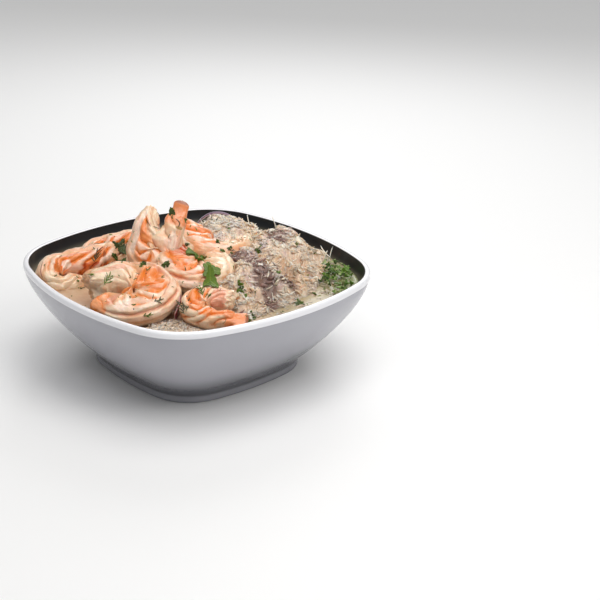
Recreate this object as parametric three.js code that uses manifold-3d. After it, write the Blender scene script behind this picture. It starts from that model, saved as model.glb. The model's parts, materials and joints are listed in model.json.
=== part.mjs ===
// Shrimp ceviche in its square melamine bowl. Millimetres, +Z up, origin at the bottom
// centre of the bowl, whose sides run along X and Y.
import * as THREE from 'three';
import { ParametricGeometry } from 'three/addons/geometries/ParametricGeometry.js';
import { mergeVertices } from 'three/addons/utils/BufferGeometryUtils.js';
import Module from 'manifold-3d';

const wasm = await Module();
wasm.setup();

// ---- Driving dimensions -------------------------------------------------------------

const bowl = {
  height: 56,
  rimHalfWidth: 82.5,
  rimSideRadius: 168.7,
  rimCornerRadius: 38.8,
  rimThickness: 2.9,
  rimRounding: 0.9,
  bandHeight: 3.6,
  bandProud: 0.5,
  footHalfWidth: 48.5,
  footSideRadius: 168,
  footCornerRadius: 26,
  footHeight: 4.6,
  footRingWidth: 3.4,
  footRecess: 1.8,
  neckHalfWidth: 47.3,
  innerNeckHalfWidth: 43.6,
  innerFloor: 7,
  innerFloorRounding: 1.6,
  segments: 36,
  wallSteps: 5,
  wallSwell: 1.45,
  footChamfer: 0.8,
  cornerCrowding: 0.125,
};
const brothLevel = 48;
const gap = 0.3;

// The food is laid out facing the bowl's front corner: in the food's own frame +X runs
// to the right of that corner and +Y runs from it to the back corner.
const foodTurn = THREE.MathUtils.degToRad(47.5);

const shrimpMesh = { around: 10, along: 24 };

// What every shrimp has in common, as shares of its size: how slim the last segment is, the
// share of the length that closes the tail end, the flare and flatness of a tail shell, the
// cut along the back with its spread in radians, the flatness of the belly, and how far the
// segments swell on the whole body and on the belly.
const shrimpForm = {
  segments: 6,
  lastSegment: 0.56,
  taperPower: 1.5,
  closing: 0.05,
  shellFlare: 0.3,
  shellFlatness: 0.62,
  cutDepth: 0.2,
  cutSpread: 0.3,
  bellyFlatness: 0.14,
  segmentSwell: 0.04,
  bellySwell: 0.07,
};

// Each shrimp is a tapering body along a curled line. length runs along that line, depth
// is the half height of its thickest segment in the plane of the curl and width its half
// width across it. start is the heading of the head end in that plane, and the body turns
// by turn between the shares bendFrom and bendTo of its length. rise lifts the tail end
// sideways out of the plane, and roll brings the cut along the back round to the upper
// side. slant leans the head end's cut, whose rounding takes the share blunt of the
// length. at, tilt and yaw place the shrimp.
const shrimps = {
  shrimp_front: {
    at: [-31, -52, 57.5], tilt: 12, yaw: -8, start: 32, turn: -238, bendFrom: 0.15, bendTo: 0.9,
    length: 92, depth: 9.4, width: 9, rise: -1.7, roll: 32, slant: 0.3, blunt: 0.1, tail: 'stub',
  },
  shrimp_left: {
    at: [-59, -10, 53], tilt: 40, yaw: 29, start: 182, turn: 177, bendFrom: 0.47, bendTo: 0.77,
    length: 68, depth: 7.4, width: 7.4, rise: -1.3, roll: 10, slant: 0.2, blunt: 0.08, tail: 'stub',
  },
  shrimp_standing: {
    at: [-17, -12, 78], tilt: 62, yaw: -7, start: -100, turn: 177, bendFrom: 0.29, bendTo: 0.6,
    length: 70, depth: 8.6, width: 7.6, rise: 2, roll: 20, slant: 0.6, blunt: 0.2, tail: 'shell',
  },
  shrimp_right: {
    at: [16.5, -62.5, 56.2], tilt: 20, yaw: -1, start: 167, turn: 190, bendFrom: 0.16, bendTo: 0.66,
    length: 59, depth: 6, width: 6, rise: 2, roll: 10, slant: 0.2, blunt: 0.08, tail: 'shell',
  },
  shrimp_middle: {
    at: [1, -19, 62.5], tilt: 8, yaw: 21, start: -131, turn: 235, bendFrom: 0.12, bendTo: 0.94,
    length: 81, depth: 8.6, width: 8, rise: -1, roll: 28, slant: 0.2, blunt: 0.08, tail: 'stub',
  },
  shrimp_back: {
    at: [10, 16, 62.5], tilt: 6, yaw: 4, start: -104, turn: 190, bendFrom: 0.03, bendTo: 0.9,
    length: 68, depth: 7.8, width: 7.4, rise: -2, roll: 20, slant: 0.2, blunt: 0.08, tail: 'stub',
  },
  shrimp_behind: {
    at: [-43.5, 16.5, 54], tilt: 26, yaw: 22, start: 184, turn: 191, bendFrom: 0.41, bendTo: 0.72,
    length: 62, depth: 7.2, width: 7.2, rise: -2.4, roll: 10, slant: 0.2, blunt: 0.08, tail: 'stub',
  },
};

// The heap of flaked seafood: boxy mounds joined into one. at is a mound's widest level,
// size its half sizes and its rise above that level, root how deep it goes below, and
// detail how finely its faces are split. Flakes lie within spread.
const heap = {
  mounds: [
    { at: [42, -15, 48], yaw: -10, size: [29, 54, 18], root: 32, detail: 3 },
    { at: [13, 36, 54], yaw: 0, size: [21, 19, 14], root: 36, detail: 2 },
    { at: [43, 22, 49], yaw: 0, size: [25, 20, 13.5], root: 30, detail: 2 },
    { at: [4, -70, 46], yaw: 8, size: [24, 13, 6.5], root: 22, detail: 1 },
    { at: [-6, 6, 47], yaw: 20, size: [46, 56, 10.5], root: 28, detail: 1 },
  ],
  boxiness: 2.15,
  roughness: 1.1,
  roughPitch: 5.5,
  tolerance: 0.1,
  flakeSpacing: 14,
  flakeSize: [3.4, 6],
  shredSize: [5, 8],
  seed: 7,
  spread: { x: [-20, 86], y: [-86, 62] },
};

// The clump of chopped herbs on the broth beside the heap.
const herbClump = { at: [74, 3, 48.8], size: [9, 26, 4.4], bits: 14, bitSize: [2.6, 4.2], seed: 11 };

// Leaves: a lobed outline round at, lying on what is below it along its own down axis.
const leaves = {
  leaf_middle: {
    at: [10, -38, 70], tilt: 26, yaw: 6,
    size: [5.2, 7], lobes: 3, depth: 0.3, wave: 1.1,
  },
  leaf_middle_low: {
    at: [11, -51, 66], tilt: 30, yaw: -20,
    size: [4, 5.2], lobes: 3, depth: 0.24, wave: 0.8,
  },
  leaf_back: {
    at: [1.5, -20, 70], tilt: 20, yaw: 30,
    size: [5.5, 6.5], lobes: 4, depth: 0.26, wave: 1,
  },
  leaf_left: {
    at: [-39.5, -20, 64], tilt: 30, yaw: -20,
    size: [6, 4.4], lobes: 5, depth: 0.3, wave: 1,
  },
  leaf_behind: {
    at: [-41, 8, 64], tilt: 28, yaw: 20,
    size: [4.6, 4.4], lobes: 5, depth: 0.28, wave: 1,
  },
  leaf_tail: {
    at: [-11.5, -7, 86], tilt: 60, yaw: -7,
    size: [2.6, 4], lobes: 3, depth: 0.2, wave: 0.5,
  },
};
const leafThickness = 0.45;
const leafLift = 0.8;
const leafMesh = { rings: 2, spokes: 15 };

// Onion: slices cut from a ring of radius radius over sweep degrees.
const onions = {
  onion_back: {
    at: [8, 45, 55], tilt: 80, yaw: 4,
    radius: 13.5, sweep: 130, from: 30, height: 4.5, thickness: 1.3,
  },
  onion_front: {
    at: [-28, -57, 55.5], tilt: 18, yaw: 0,
    radius: 24.5, sweep: 48, from: -22, height: 7, thickness: 1.2,
  },
};

// Small bits of herb lying on a shrimp or on the heap.
const fleck = { length: [1.8, 3.4], width: 0.55, thickness: 0.4, onShrimp: 4, onHeap: 14, seed: 31 };

// ---- Solids -------------------------------------------------------------------------

// Any closed geometry as a solid: shared vertices welded, sliver faces dropped, and the
// faces turned outwards.
function solidFrom(geometry) {
  const bare = geometry.index ? geometry.toNonIndexed() : geometry.clone();
  for (const name of Object.keys(bare.attributes)) {
    if (name !== 'position') bare.deleteAttribute(name);
  }
  const welded = mergeVertices(bare, 1e-4);
  const triangles = [];
  for (let i = 0; i < welded.index.count; i += 3) {
    const [a, b, c] = [0, 1, 2].map((k) => welded.index.getX(i + k));
    if (a !== b && b !== c && c !== a) triangles.push(a, b, c);
  }
  const make = (indices) => new wasm.Manifold(new wasm.Mesh({
    numProp: 3,
    vertProperties: new Float32Array(welded.attributes.position.array),
    triVerts: new Uint32Array(indices),
  }));
  const solid = make(triangles);
  if (solid.volume() > 0) return solid;
  for (let i = 0; i < triangles.length; i += 3) {
    [triangles[i + 1], triangles[i + 2]] = [triangles[i + 2], triangles[i + 1]];
  }
  return make(triangles);
}

// The largest of the bodies that a cut leaves.
function largestBody(solid) {
  const bodies = solid.decompose();
  return bodies.reduce((best, body) => (body.volume() > best.volume() ? body : best));
}

function meshFrom(name, solid, finish) {
  const { vertProperties, triVerts } = solid.getMesh();
  const geometry = new THREE.BufferGeometry();
  geometry.setAttribute('position', new THREE.BufferAttribute(new Float32Array(vertProperties), 3));
  geometry.setIndex(new THREE.BufferAttribute(new Uint32Array(triVerts), 1));
  const flat = geometry.toNonIndexed();
  flat.computeVertexNormals();
  const mesh = new THREE.Mesh(flat, new THREE.MeshStandardMaterial(finish));
  mesh.name = name;
  return mesh;
}

// A repeatable stream of draws between 0 and 1.
function makeRandom(seed) {
  let state = seed;
  return () => {
    state = (state + 0x6d2b79f5) | 0;
    let t = Math.imul(state ^ (state >>> 15), 1 | state);
    t = (t + Math.imul(t ^ (t >>> 7), 61 | t)) ^ t;
    return ((t ^ (t >>> 14)) >>> 0) / 4294967296;
  };
}

// A piece tilts about its own X, turns by yaw and is then moved to at.
function placement({ at, tilt = 0, yaw }) {
  const [tiltAngle, yawAngle] = [tilt, yaw].map(THREE.MathUtils.degToRad);
  const turned = new THREE.Euler(tiltAngle, 0, yawAngle, 'ZXY');
  return new THREE.Matrix4().makeRotationFromEuler(turned).setPosition(...at);
}

// ---- Bowl ---------------------------------------------------------------------------

// Distance from the axis to a square outline with bowed sides and round corners. The
// outline has half width halfWidth, sides of radius side and corners of radius corner.
function outlineRadius(angle, halfWidth, side, corner) {
  const k = halfWidth - side;
  const reach = (side - corner) ** 2;
  const c = (k + Math.sqrt(k * k - 2 * (k * k - reach))) / 2;
  const quarter = Math.PI / 2;
  const folded = Math.abs(angle - Math.round(angle / quarter) * quarter);
  const joint = Math.atan2(c, c - k);
  const onSide = k * Math.cos(folded) + Math.sqrt(side * side - (k * Math.sin(folded)) ** 2);
  const turned = Math.atan2(onSide * Math.sin(folded), onSide * Math.cos(folded) - k);
  if (turned <= joint) return onSide;
  const across = c * (Math.cos(folded) - Math.sin(folded));
  return c * (Math.cos(folded) + Math.sin(folded)) + Math.sqrt(corner * corner - across * across);
}

// The outline at any half width: between the foot's and the rim's, and below the foot's
// size a smaller copy of the foot's.
function bowlRadius(angle, halfWidth) {
  const b = bowl;
  if (halfWidth <= b.footHalfWidth) {
    const size = halfWidth / b.footHalfWidth;
    return size * outlineRadius(angle, b.footHalfWidth, b.footSideRadius, b.footCornerRadius);
  }
  const share = (halfWidth - b.footHalfWidth) / (b.rimHalfWidth - b.footHalfWidth);
  const side = THREE.MathUtils.lerp(b.footSideRadius, b.rimSideRadius, share);
  const corner = THREE.MathUtils.lerp(b.footCornerRadius, b.rimCornerRadius, share);
  return outlineRadius(angle, halfWidth, side, corner);
}

// A turned solid whose circles are drawn out to the bowl's outline. profile lists
// [half width, height] and starts and ends on the axis. The steps crowd to the corners.
function squareLathe(profile) {
  const points = profile.map(([halfWidth, z]) => new THREE.Vector2(halfWidth, z));
  const geometry = new THREE.LatheGeometry(points, bowl.segments).rotateX(Math.PI / 2);
  const position = geometry.attributes.position;
  for (let i = 0; i < position.count; i++) {
    const halfWidth = Math.hypot(position.getX(i), position.getY(i));
    if (halfWidth < 1e-6) {
      position.setXY(i, 0, 0);
      continue;
    }
    const even = Math.atan2(position.getY(i), position.getX(i));
    const step = Math.round(even / (2 * Math.PI) * bowl.segments) / bowl.segments * 2 * Math.PI;
    const angle = step + bowl.cornerCrowding * Math.sin(4 * step);
    const radius = bowlRadius(angle, halfWidth);
    position.setXY(i, radius * Math.cos(angle), radius * Math.sin(angle));
  }
  return geometry;
}

// Half width of a wall that swells from its neck to its rim; share runs from 0 to 1.
function wallHalfWidth(share, neck, rim) {
  return neck + (rim - neck) * (1 - (1 - share) ** bowl.wallSwell);
}

function wallPoints(neck, rim, low, high, inset = 0) {
  return Array.from({ length: bowl.wallSteps + 1 }, (_, i) => {
    const share = i / bowl.wallSteps;
    return [wallHalfWidth(share, neck, rim) - inset, THREE.MathUtils.lerp(low, high, share)];
  });
}

const rimInner = bowl.rimHalfWidth - bowl.rimThickness;

function innerWall(inset) {
  const low = bowl.innerFloor + bowl.innerFloorRounding;
  return wallPoints(bowl.innerNeckHalfWidth, rimInner, low, bowl.height - bowl.rimRounding, inset);
}

function makeBowl() {
  const b = bowl;
  const ringInner = b.footHalfWidth - b.footRingWidth;
  const bandBottom = b.height - b.bandHeight;
  const profile = [
    [0, b.footRecess],
    [ringInner - 1, b.footRecess],
    [ringInner, 0],
    [b.footHalfWidth - b.footChamfer, 0],
    [b.footHalfWidth, b.footChamfer],
    [b.footHalfWidth, b.footHeight - 1],
    ...wallPoints(b.neckHalfWidth, b.rimHalfWidth - b.bandProud, b.footHeight, bandBottom),
    [b.rimHalfWidth, bandBottom + b.bandProud],
    [b.rimHalfWidth, b.height - b.rimRounding],
    [b.rimHalfWidth - b.rimRounding, b.height],
    [rimInner + b.rimRounding, b.height],
    ...innerWall(0).reverse(),
    [b.innerNeckHalfWidth - b.innerFloorRounding * 2, b.innerFloor],
    [0, b.innerFloor],
  ];
  return solidFrom(squareLathe(profile));
}

// What the bowl holds up to a level, kept clear of the wall, which slopes.
function insideBowl(level, clear) {
  const points = innerWall(clear * 1.6);
  const wall = points.filter(([, z]) => z < level);
  const [lowWidth, lowZ] = wall[wall.length - 1];
  const above = points.find(([, z]) => z >= level);
  const share = above ? (level - lowZ) / (above[1] - lowZ) : 0;
  const topWidth = above ? THREE.MathUtils.lerp(lowWidth, above[0], share) : lowWidth;
  return solidFrom(squareLathe([
    [0, bowl.innerFloor + clear],
    [bowl.innerNeckHalfWidth - bowl.innerFloorRounding * 2 - clear, bowl.innerFloor + clear],
    ...wall.map(([w, z], i) => (i ? [w, z] : [w, z + clear])),
    [topWidth, level],
    [0, level],
  ]));
}

// ---- Shrimps ------------------------------------------------------------------------

const lineSteps = 96;

// The curled centre line, as points and headings at even steps, with its middle at 0.
function centreLine(shrimp) {
  const { start, turn, bendFrom, bendTo, length, rise } = shrimp;
  const steps = [];
  let x = 0;
  let y = 0;
  for (let i = 0; i <= lineSteps; i++) {
    const share = i / lineSteps;
    const bend = THREE.MathUtils.smoothstep(share, bendFrom, bendTo);
    const linear = THREE.MathUtils.clamp((share - bendFrom) / (bendTo - bendFrom), 0, 1);
    const heading = THREE.MathUtils.degToRad(start + turn * (0.4 * bend + 0.6 * linear));
    steps.push({ x, y, z: rise * (share - 0.5), heading });
    x += Math.cos(heading) * length / lineSteps;
    y += Math.sin(heading) * length / lineSteps;
  }
  const middle = (values) => (Math.max(...values) + Math.min(...values)) / 2;
  const midX = middle(steps.map((step) => step.x));
  const midY = middle(steps.map((step) => step.y));
  return steps.map((s) => ({ ...s, x: s.x - midX, y: s.y - midY }));
}

const bump = (x, centre, spread) => Math.exp(-(((x - centre) / spread) ** 2));

// The shrimp's size at a share of its length, against its thickest segment: a blunt head
// end, a slow taper to the last segment, and a stub or a flared tail shell.
function bodySize(share, { blunt, tail }) {
  const form = shrimpForm;
  const round = (part) => Math.sqrt(Math.max(0, 1 - (1 - Math.min(part, 1)) ** 2));
  const taper = THREE.MathUtils.lerp(1, form.lastSegment, share ** form.taperPower);
  const girth = round(share / blunt) * taper * round((1 - share) / form.closing);
  if (tail === 'stub') return { depth: girth, width: girth };
  const flare = 1 + form.shellFlare * THREE.MathUtils.smoothstep(share, 0.84, 0.98);
  const flat = 1 - form.shellFlatness * THREE.MathUtils.smoothstep(share, 0.8, 0.96);
  return { depth: girth * flare, width: girth * flat };
}

// A point of the skin. around is an angle that is 0 along the back, whose cut stands open
// as two lips; shallow waves along the body are its segments, deepest on the belly.
function shrimpSkin(shrimp, line, share, around, grow, target) {
  const form = shrimpForm;
  const place = share * lineSteps;
  const index = Math.min(Math.floor(place), lineSteps - 1);
  const mix = place - index;
  const at = (key) => THREE.MathUtils.lerp(line[index][key], line[index + 1][key], mix);
  const heading = at('heading');
  const outward = shrimp.turn > 0 ? -1 : 1;
  const backX = -Math.sin(heading) * outward;
  const backY = Math.cos(heading) * outward;
  const size = bodySize(share, shrimp);
  const opened = THREE.MathUtils.smoothstep(share, 0.02, 0.15);
  const cutDepth = form.cutDepth * opened * THREE.MathUtils.smoothstep(0.9 - share, 0, 0.2);
  const cut = 1 - cutDepth * bump(around, THREE.MathUtils.degToRad(shrimp.roll), form.cutSpread);
  const belly = 1 - form.bellyFlatness * bump(Math.abs(around), Math.PI, 0.8);
  const wave = Math.cos(share * form.segments * 2 * Math.PI);
  const swell = form.segmentSwell + form.bellySwell * bump(Math.abs(around), Math.PI, 1.2);
  const segment = 1 + wave * swell;
  const depth = shrimp.depth * size.depth * cut * belly * segment + grow;
  const width = shrimp.width * size.width * cut * segment + grow;
  const isEnd = share === 0 || share === 1;
  const radial = isEnd ? 0 : Math.cos(around) * depth;
  const across = isEnd ? 0 : Math.sin(around) * width;
  const lean = shrimp.slant * radial * (1 - THREE.MathUtils.smoothstep(share, 0, 0.35));
  const end = (isEnd ? Math.sign(share - 0.5) * grow : 0) - lean;
  target.set(
    at('x') + backX * radial + Math.cos(heading) * end,
    at('y') + backY * radial + Math.sin(heading) * end,
    at('z') + across,
  );
}

// Each ring of the mesh starts at the cut, so that a coarse one shows it too.
function makeShrimp(shrimp, grow = 0) {
  const line = centreLine(shrimp);
  const cutAngle = THREE.MathUtils.degToRad(shrimp.roll);
  const geometry = new ParametricGeometry((u, v, target) => {
    const share = THREE.MathUtils.lerp(v, (1 - Math.cos(v * Math.PI)) / 2, 0.5);
    const around = cutAngle + (u === 1 ? 0 : u) * 2 * Math.PI;
    shrimpSkin(shrimp, line, share, around > Math.PI ? around - 2 * Math.PI : around, grow, target);
  }, shrimpMesh.around, shrimpMesh.along);
  return solidFrom(geometry.applyMatrix4(placement(shrimp)));
}

// ---- Heap ---------------------------------------------------------------------------

// Smooth unevenness in space, of about one part up or down.
const uneven = (p, pitch) => (Math.sin(p.x / pitch + 1.3 * Math.sin(p.y / pitch))
  + Math.sin(p.y / pitch * 1.3 + 1.1 * Math.sin(p.z / pitch))
  + Math.sin(p.z / pitch * 1.2 + Math.sin(p.x / pitch * 1.4))) / 3;

function makeMound({ at, yaw, size, root, detail }, grow) {
  const geometry = new THREE.IcosahedronGeometry(1, detail);
  const position = geometry.attributes.position;
  const { boxiness: power } = heap;
  const p = new THREE.Vector3();
  for (let i = 0; i < position.count; i++) {
    p.fromBufferAttribute(position, i);
    const powers = [p.x, p.y, p.z].map((value) => Math.abs(value) ** power);
    p.divideScalar((powers[0] + powers[1] + powers[2]) ** (1 / power));
    p.set(p.x * (size[0] + grow), p.y * (size[1] + grow), p.z * ((p.z > 0 ? size[2] : root) + grow));
    const lift = heap.roughness * uneven(p, heap.roughPitch);
    p.multiplyScalar(1 + lift / p.length());
    position.setXYZ(i, p.x, p.y, p.z);
  }
  return solidFrom(geometry.applyMatrix4(placement({ at, yaw })));
}

function makeHeapCore(grow = 0) {
  return wasm.Manifold.union(heap.mounds.map((mound) => makeMound(mound, grow)));
}

// Where a ray meets the given meshes first.
const raycaster = new THREE.Raycaster();
function firstHit(meshes, origin, direction) {
  raycaster.set(origin, direction);
  return raycaster.intersectObjects(meshes)[0];
}

// A turned copy of a small shape, as a solid at a point.
function placedBit(geometry, scale, point, normal, spin) {
  const up = new THREE.Vector3(0, 0, 1);
  const upright = new THREE.Quaternion().setFromUnitVectors(up, normal);
  const turned = upright.multiply(new THREE.Quaternion().setFromAxisAngle(up, spin));
  const place = new THREE.Matrix4().compose(point, turned, new THREE.Vector3(...scale));
  return solidFrom(geometry.clone().applyMatrix4(place));
}

const down = new THREE.Vector3(0, 0, -1);
const wellAbove = 120;
const lerpRange = ([low, high], share) => low + (high - low) * share;

// Lumps and shreds spread over the top of the heap, one to each square of a loose grid.
function heapFlakes(coreMesh) {
  const random = makeRandom(heap.seed);
  const flakes = [];
  const step = heap.flakeSpacing;
  const { x: [left, right], y: [front, back] } = heap.spread;
  for (let x = left; x <= right; x += step) {
    for (let y = front; y <= back; y += step) {
      const origin = new THREE.Vector3(x + step * random(), y + step * random(), wellAbove);
      const draws = Array.from({ length: 6 }, random);
      const hit = firstHit([coreMesh], origin, down);
      if (!hit || hit.point.z < brothLevel + 1.5) continue;
      const isShred = draws[0] < 0.4;
      const length = lerpRange(isShred ? heap.shredSize : heap.flakeSize, draws[1]);
      const width = isShred ? 1 + draws[2] * 0.7 : length * (0.55 + 0.35 * draws[2]);
      const thickness = isShred ? width * 0.8 : length * 0.45;
      const shape = isShred ? new THREE.OctahedronGeometry(1) : new THREE.IcosahedronGeometry(1, 0);
      const normal = hit.face.normal.clone();
      normal.x += 0.5 * (draws[3] - 0.5);
      normal.y += 0.5 * (draws[4] - 0.5);
      normal.normalize();
      const point = hit.point.clone().addScaledVector(normal, thickness * 0.25);
      flakes.push(placedBit(shape, [length, width, thickness], point, normal, draws[5] * Math.PI));
    }
  }
  return flakes;
}

// Slivers of herb lying on the parts of a mesh that face up, none of them below lowest.
function flecksOn(mesh, count, seed, lowest) {
  const random = makeRandom(seed);
  const box = new THREE.Box3().setFromObject(mesh);
  const bits = [];
  for (let tries = 0; bits.length < count && tries < count * 8; tries++) {
    const draws = Array.from({ length: 4 }, random);
    const x = THREE.MathUtils.lerp(box.min.x, box.max.x, draws[0]);
    const y = THREE.MathUtils.lerp(box.min.y, box.max.y, draws[1]);
    const hit = firstHit([mesh], new THREE.Vector3(x, y, wellAbove), down);
    if (!hit || hit.point.z < lowest || hit.face.normal.z < 0.45) continue;
    const shape = new THREE.OctahedronGeometry(1);
    const scale = [lerpRange(fleck.length, draws[2]) / 2, fleck.width, fleck.thickness];
    bits.push(placedBit(shape, scale, hit.point, hit.face.normal, draws[3] * Math.PI));
  }
  return bits;
}

// ---- Herbs and onion ----------------------------------------------------------------

// A leaf is a thin sheet on rings and spokes. Each point lies on its own wavy surface or
// on what is under it, whichever is higher, and both faces have the same triangles.
function makeLeaf(leaf, under) {
  const { rings, spokes } = leafMesh;
  const place = placement(leaf);
  const upward = new THREE.Vector3(0, 0, 1).transformDirection(place);
  const above = 30;
  const heightAt = (x, y) => {
    const origin = new THREE.Vector3(x, y, above).applyMatrix4(place);
    const hit = firstHit(under, origin, upward.clone().negate());
    return hit ? above - hit.distance : -Infinity;
  };
  const flatPoints = [[0, 0]];
  for (let ring = 1; ring <= rings; ring++) {
    for (let spoke = 0; spoke < spokes; spoke++) {
      const angle = spoke / spokes * 2 * Math.PI;
      const lobed = 1 - leaf.depth * (0.5 - 0.5 * Math.cos(leaf.lobes * angle));
      const reach = ring / rings * lobed;
      flatPoints.push([leaf.size[0] * reach * Math.cos(angle), leaf.size[1] * reach * Math.sin(angle)]);
    }
  }
  const grounds = flatPoints.map(([x, y]) => heightAt(x, y));
  const finite = grounds.filter(Number.isFinite);
  const rest = finite.length ? Math.max(...finite) - leaf.wave : 0;
  const lower = flatPoints.map(([x, y], i) => {
    const own = rest + leaf.wave * Math.sin(x * 0.9 + y * 0.5);
    return [x, y, Math.max(own, Number.isFinite(grounds[i]) ? grounds[i] : own) + leafLift];
  });
  const points = [...lower, ...lower.map(([x, y, z]) => [x, y, z + leafThickness])];
  const faces = [];
  const upper = lower.length;
  const at = (ring, spoke) => (ring === 0 ? 0 : 1 + (ring - 1) * spokes + (spoke % spokes));
  const both = (a, b, c) => {
    if (a === b || b === c || c === a) return;
    faces.push([a + upper, b + upper, c + upper], [a, c, b]);
  };
  for (let spoke = 0; spoke < spokes; spoke++) {
    for (let ring = 0; ring < rings; ring++) {
      both(at(ring, spoke), at(ring + 1, spoke), at(ring + 1, spoke + 1));
      both(at(ring, spoke), at(ring + 1, spoke + 1), at(ring, spoke + 1));
    }
    const [a, b] = [at(rings, spoke), at(rings, spoke + 1)];
    faces.push([a, b, b + upper], [a, b + upper, a + upper]);
  }
  const geometry = new THREE.BufferGeometry();
  geometry.setAttribute('position', new THREE.Float32BufferAttribute(points.flat(), 3));
  geometry.setIndex(faces.flat());
  return solidFrom(geometry.applyMatrix4(place));
}

// A slice of an onion ring: a long box bent round the ring's middle, thin at both ends.
function makeOnion(onion, grow = 0) {
  const steps = 10;
  const geometry = new THREE.BoxGeometry(1, 1, 1, steps, 1, 1);
  const position = geometry.attributes.position;
  for (let i = 0; i < position.count; i++) {
    const share = position.getX(i) + 0.5;
    const slim = 0.35 + 0.65 * Math.sin(Math.PI * THREE.MathUtils.clamp(share, 0.02, 0.98)) ** 0.5;
    const spare = THREE.MathUtils.radToDeg(grow / onion.radius) * Math.sign(share - 0.5);
    const angle = THREE.MathUtils.degToRad(onion.from + onion.sweep * share + spare);
    const radius = onion.radius + position.getY(i) * (onion.thickness * slim + 2 * grow);
    const height = position.getZ(i) * (onion.height * slim + 2 * grow);
    position.setXYZ(i, radius * Math.cos(angle), radius * Math.sin(angle), height);
  }
  return solidFrom(geometry.applyMatrix4(placement(onion)));
}

function makeHerbClump(grow = 0) {
  const { at, size, bits, bitSize, seed } = herbClump;
  const random = makeRandom(seed);
  const mound = new THREE.IcosahedronGeometry(1, 1);
  mound.scale(...size.map((half) => half + grow)).translate(...at);
  const pieces = [solidFrom(mound)];
  for (let i = 0; i < bits; i++) {
    const angle = i * 2.4;
    const reach = Math.sqrt((i + 0.5) / bits) * 0.98;
    const rise = size[2] * Math.sqrt(1 - reach * reach);
    const point = new THREE.Vector3(
      at[0] + size[0] * reach * Math.cos(angle), at[1] + size[1] * reach * Math.sin(angle), at[2] + rise,
    );
    const normal = new THREE.Vector3(random() - 0.5, random() - 0.5, 0.8).normalize();
    const length = lerpRange(bitSize, random());
    const shape = new THREE.OctahedronGeometry(1);
    const scale = [length, length * 0.45, 0.9].map((half) => half + 2 * grow);
    pieces.push(placedBit(shape, scale, point, normal, random() * Math.PI));
  }
  return wasm.Manifold.union(pieces);
}

// ---- The part -----------------------------------------------------------------------

const finishes = {
  bowl: { color: 0xf2f2f2, roughness: 0.25, metalness: 0 },
  shrimp: { color: 0xf0b890, roughness: 0.4, metalness: 0 },
  heap: { color: 0xcdb9a0, roughness: 0.6, metalness: 0 },
  broth: { color: 0xdcc4a2, roughness: 0.15, metalness: 0 },
  herb: { color: 0x4f8a24, roughness: 0.5, metalness: 0 },
  onion: { color: 0x7a3558, roughness: 0.35, metalness: 0 },
};

const part = new THREE.Group();
part.name = 'shrimp_ceviche';
part.add(meshFrom('bowl', makeBowl(), finishes.bowl));

const food = new THREE.Group();
food.rotation.z = foodTurn;
part.add(food);

// Everything in the food's frame is cut clear of what was placed before it.
const degrees = THREE.MathUtils.radToDeg(foodTurn);
const inFood = (solid) => solid.rotate([0, 0, -degrees]);
const meshOf = (solid) => meshFrom('guide', solid, finishes.heap);
const room = inFood(insideBowl(bowl.height * 2, 1));
const solids = {};
const grown = [];
function place(name, make) {
  const own = make(0).intersect(room);
  solids[name] = largestBody(grown.length ? own.subtract(wasm.Manifold.union(grown)) : own);
  grown.push(make(gap));
}
for (const [name, shrimp] of Object.entries(shrimps)) place(name, (grow) => makeShrimp(shrimp, grow));
for (const [name, onion] of Object.entries(onions)) place(name, (grow) => makeOnion(onion, grow));
place('herb_clump', makeHerbClump);
const clearance = wasm.Manifold.union(grown);

const core = makeHeapCore();
const flakes = wasm.Manifold.union(heapFlakes(meshOf(core))).trimByPlane([0, 0, 1], brothLevel + gap);
solids.heap = largestBody(core.add(flakes).subtract(clearance).intersect(room).simplify(heap.tolerance));

const ground = Object.values(solids).map(meshOf);
for (const [name, leaf] of Object.entries(leaves)) {
  solids[name] = largestBody(makeLeaf(leaf, ground).subtract(clearance));
}

// Flecks go on once every piece has its place, and stay clear of the other pieces.
const fleckHosts = [...Object.keys(shrimps), 'heap'];
fleckHosts.forEach((name, i) => {
  const count = name === 'heap' ? fleck.onHeap : fleck.onShrimp;
  const bits = flecksOn(meshOf(solids[name]), count, fleck.seed + i, brothLevel + 2);
  const others = Object.keys(solids).filter((other) => other !== name).map((other) => solids[other]);
  const clear = bits.filter((bit) => others.every((other) => bit.minGap(other, 1) > gap));
  solids[name] = largestBody(solids[name].add(wasm.Manifold.union(clear)));
});

const brothWhole = inFood(insideBowl(brothLevel, gap));
const brothCut = brothWhole.subtract(clearance).subtract(makeHeapCore(gap));
solids.broth = largestBody(brothCut.simplify(heap.tolerance));

const finishOf = (name) => {
  if (name.startsWith('shrimp')) return finishes.shrimp;
  if (name.startsWith('leaf') || name.startsWith('herb')) return finishes.herb;
  if (name.startsWith('onion')) return finishes.onion;
  return finishes[name];
};
for (const [name, solid] of Object.entries(solids)) food.add(meshFrom(name, solid, finishOf(name)));

export default part;
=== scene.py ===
import json
import bpy
import numpy as np
from mathutils import Euler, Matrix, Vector
from mathutils.bvhtree import BVHTree

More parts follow.
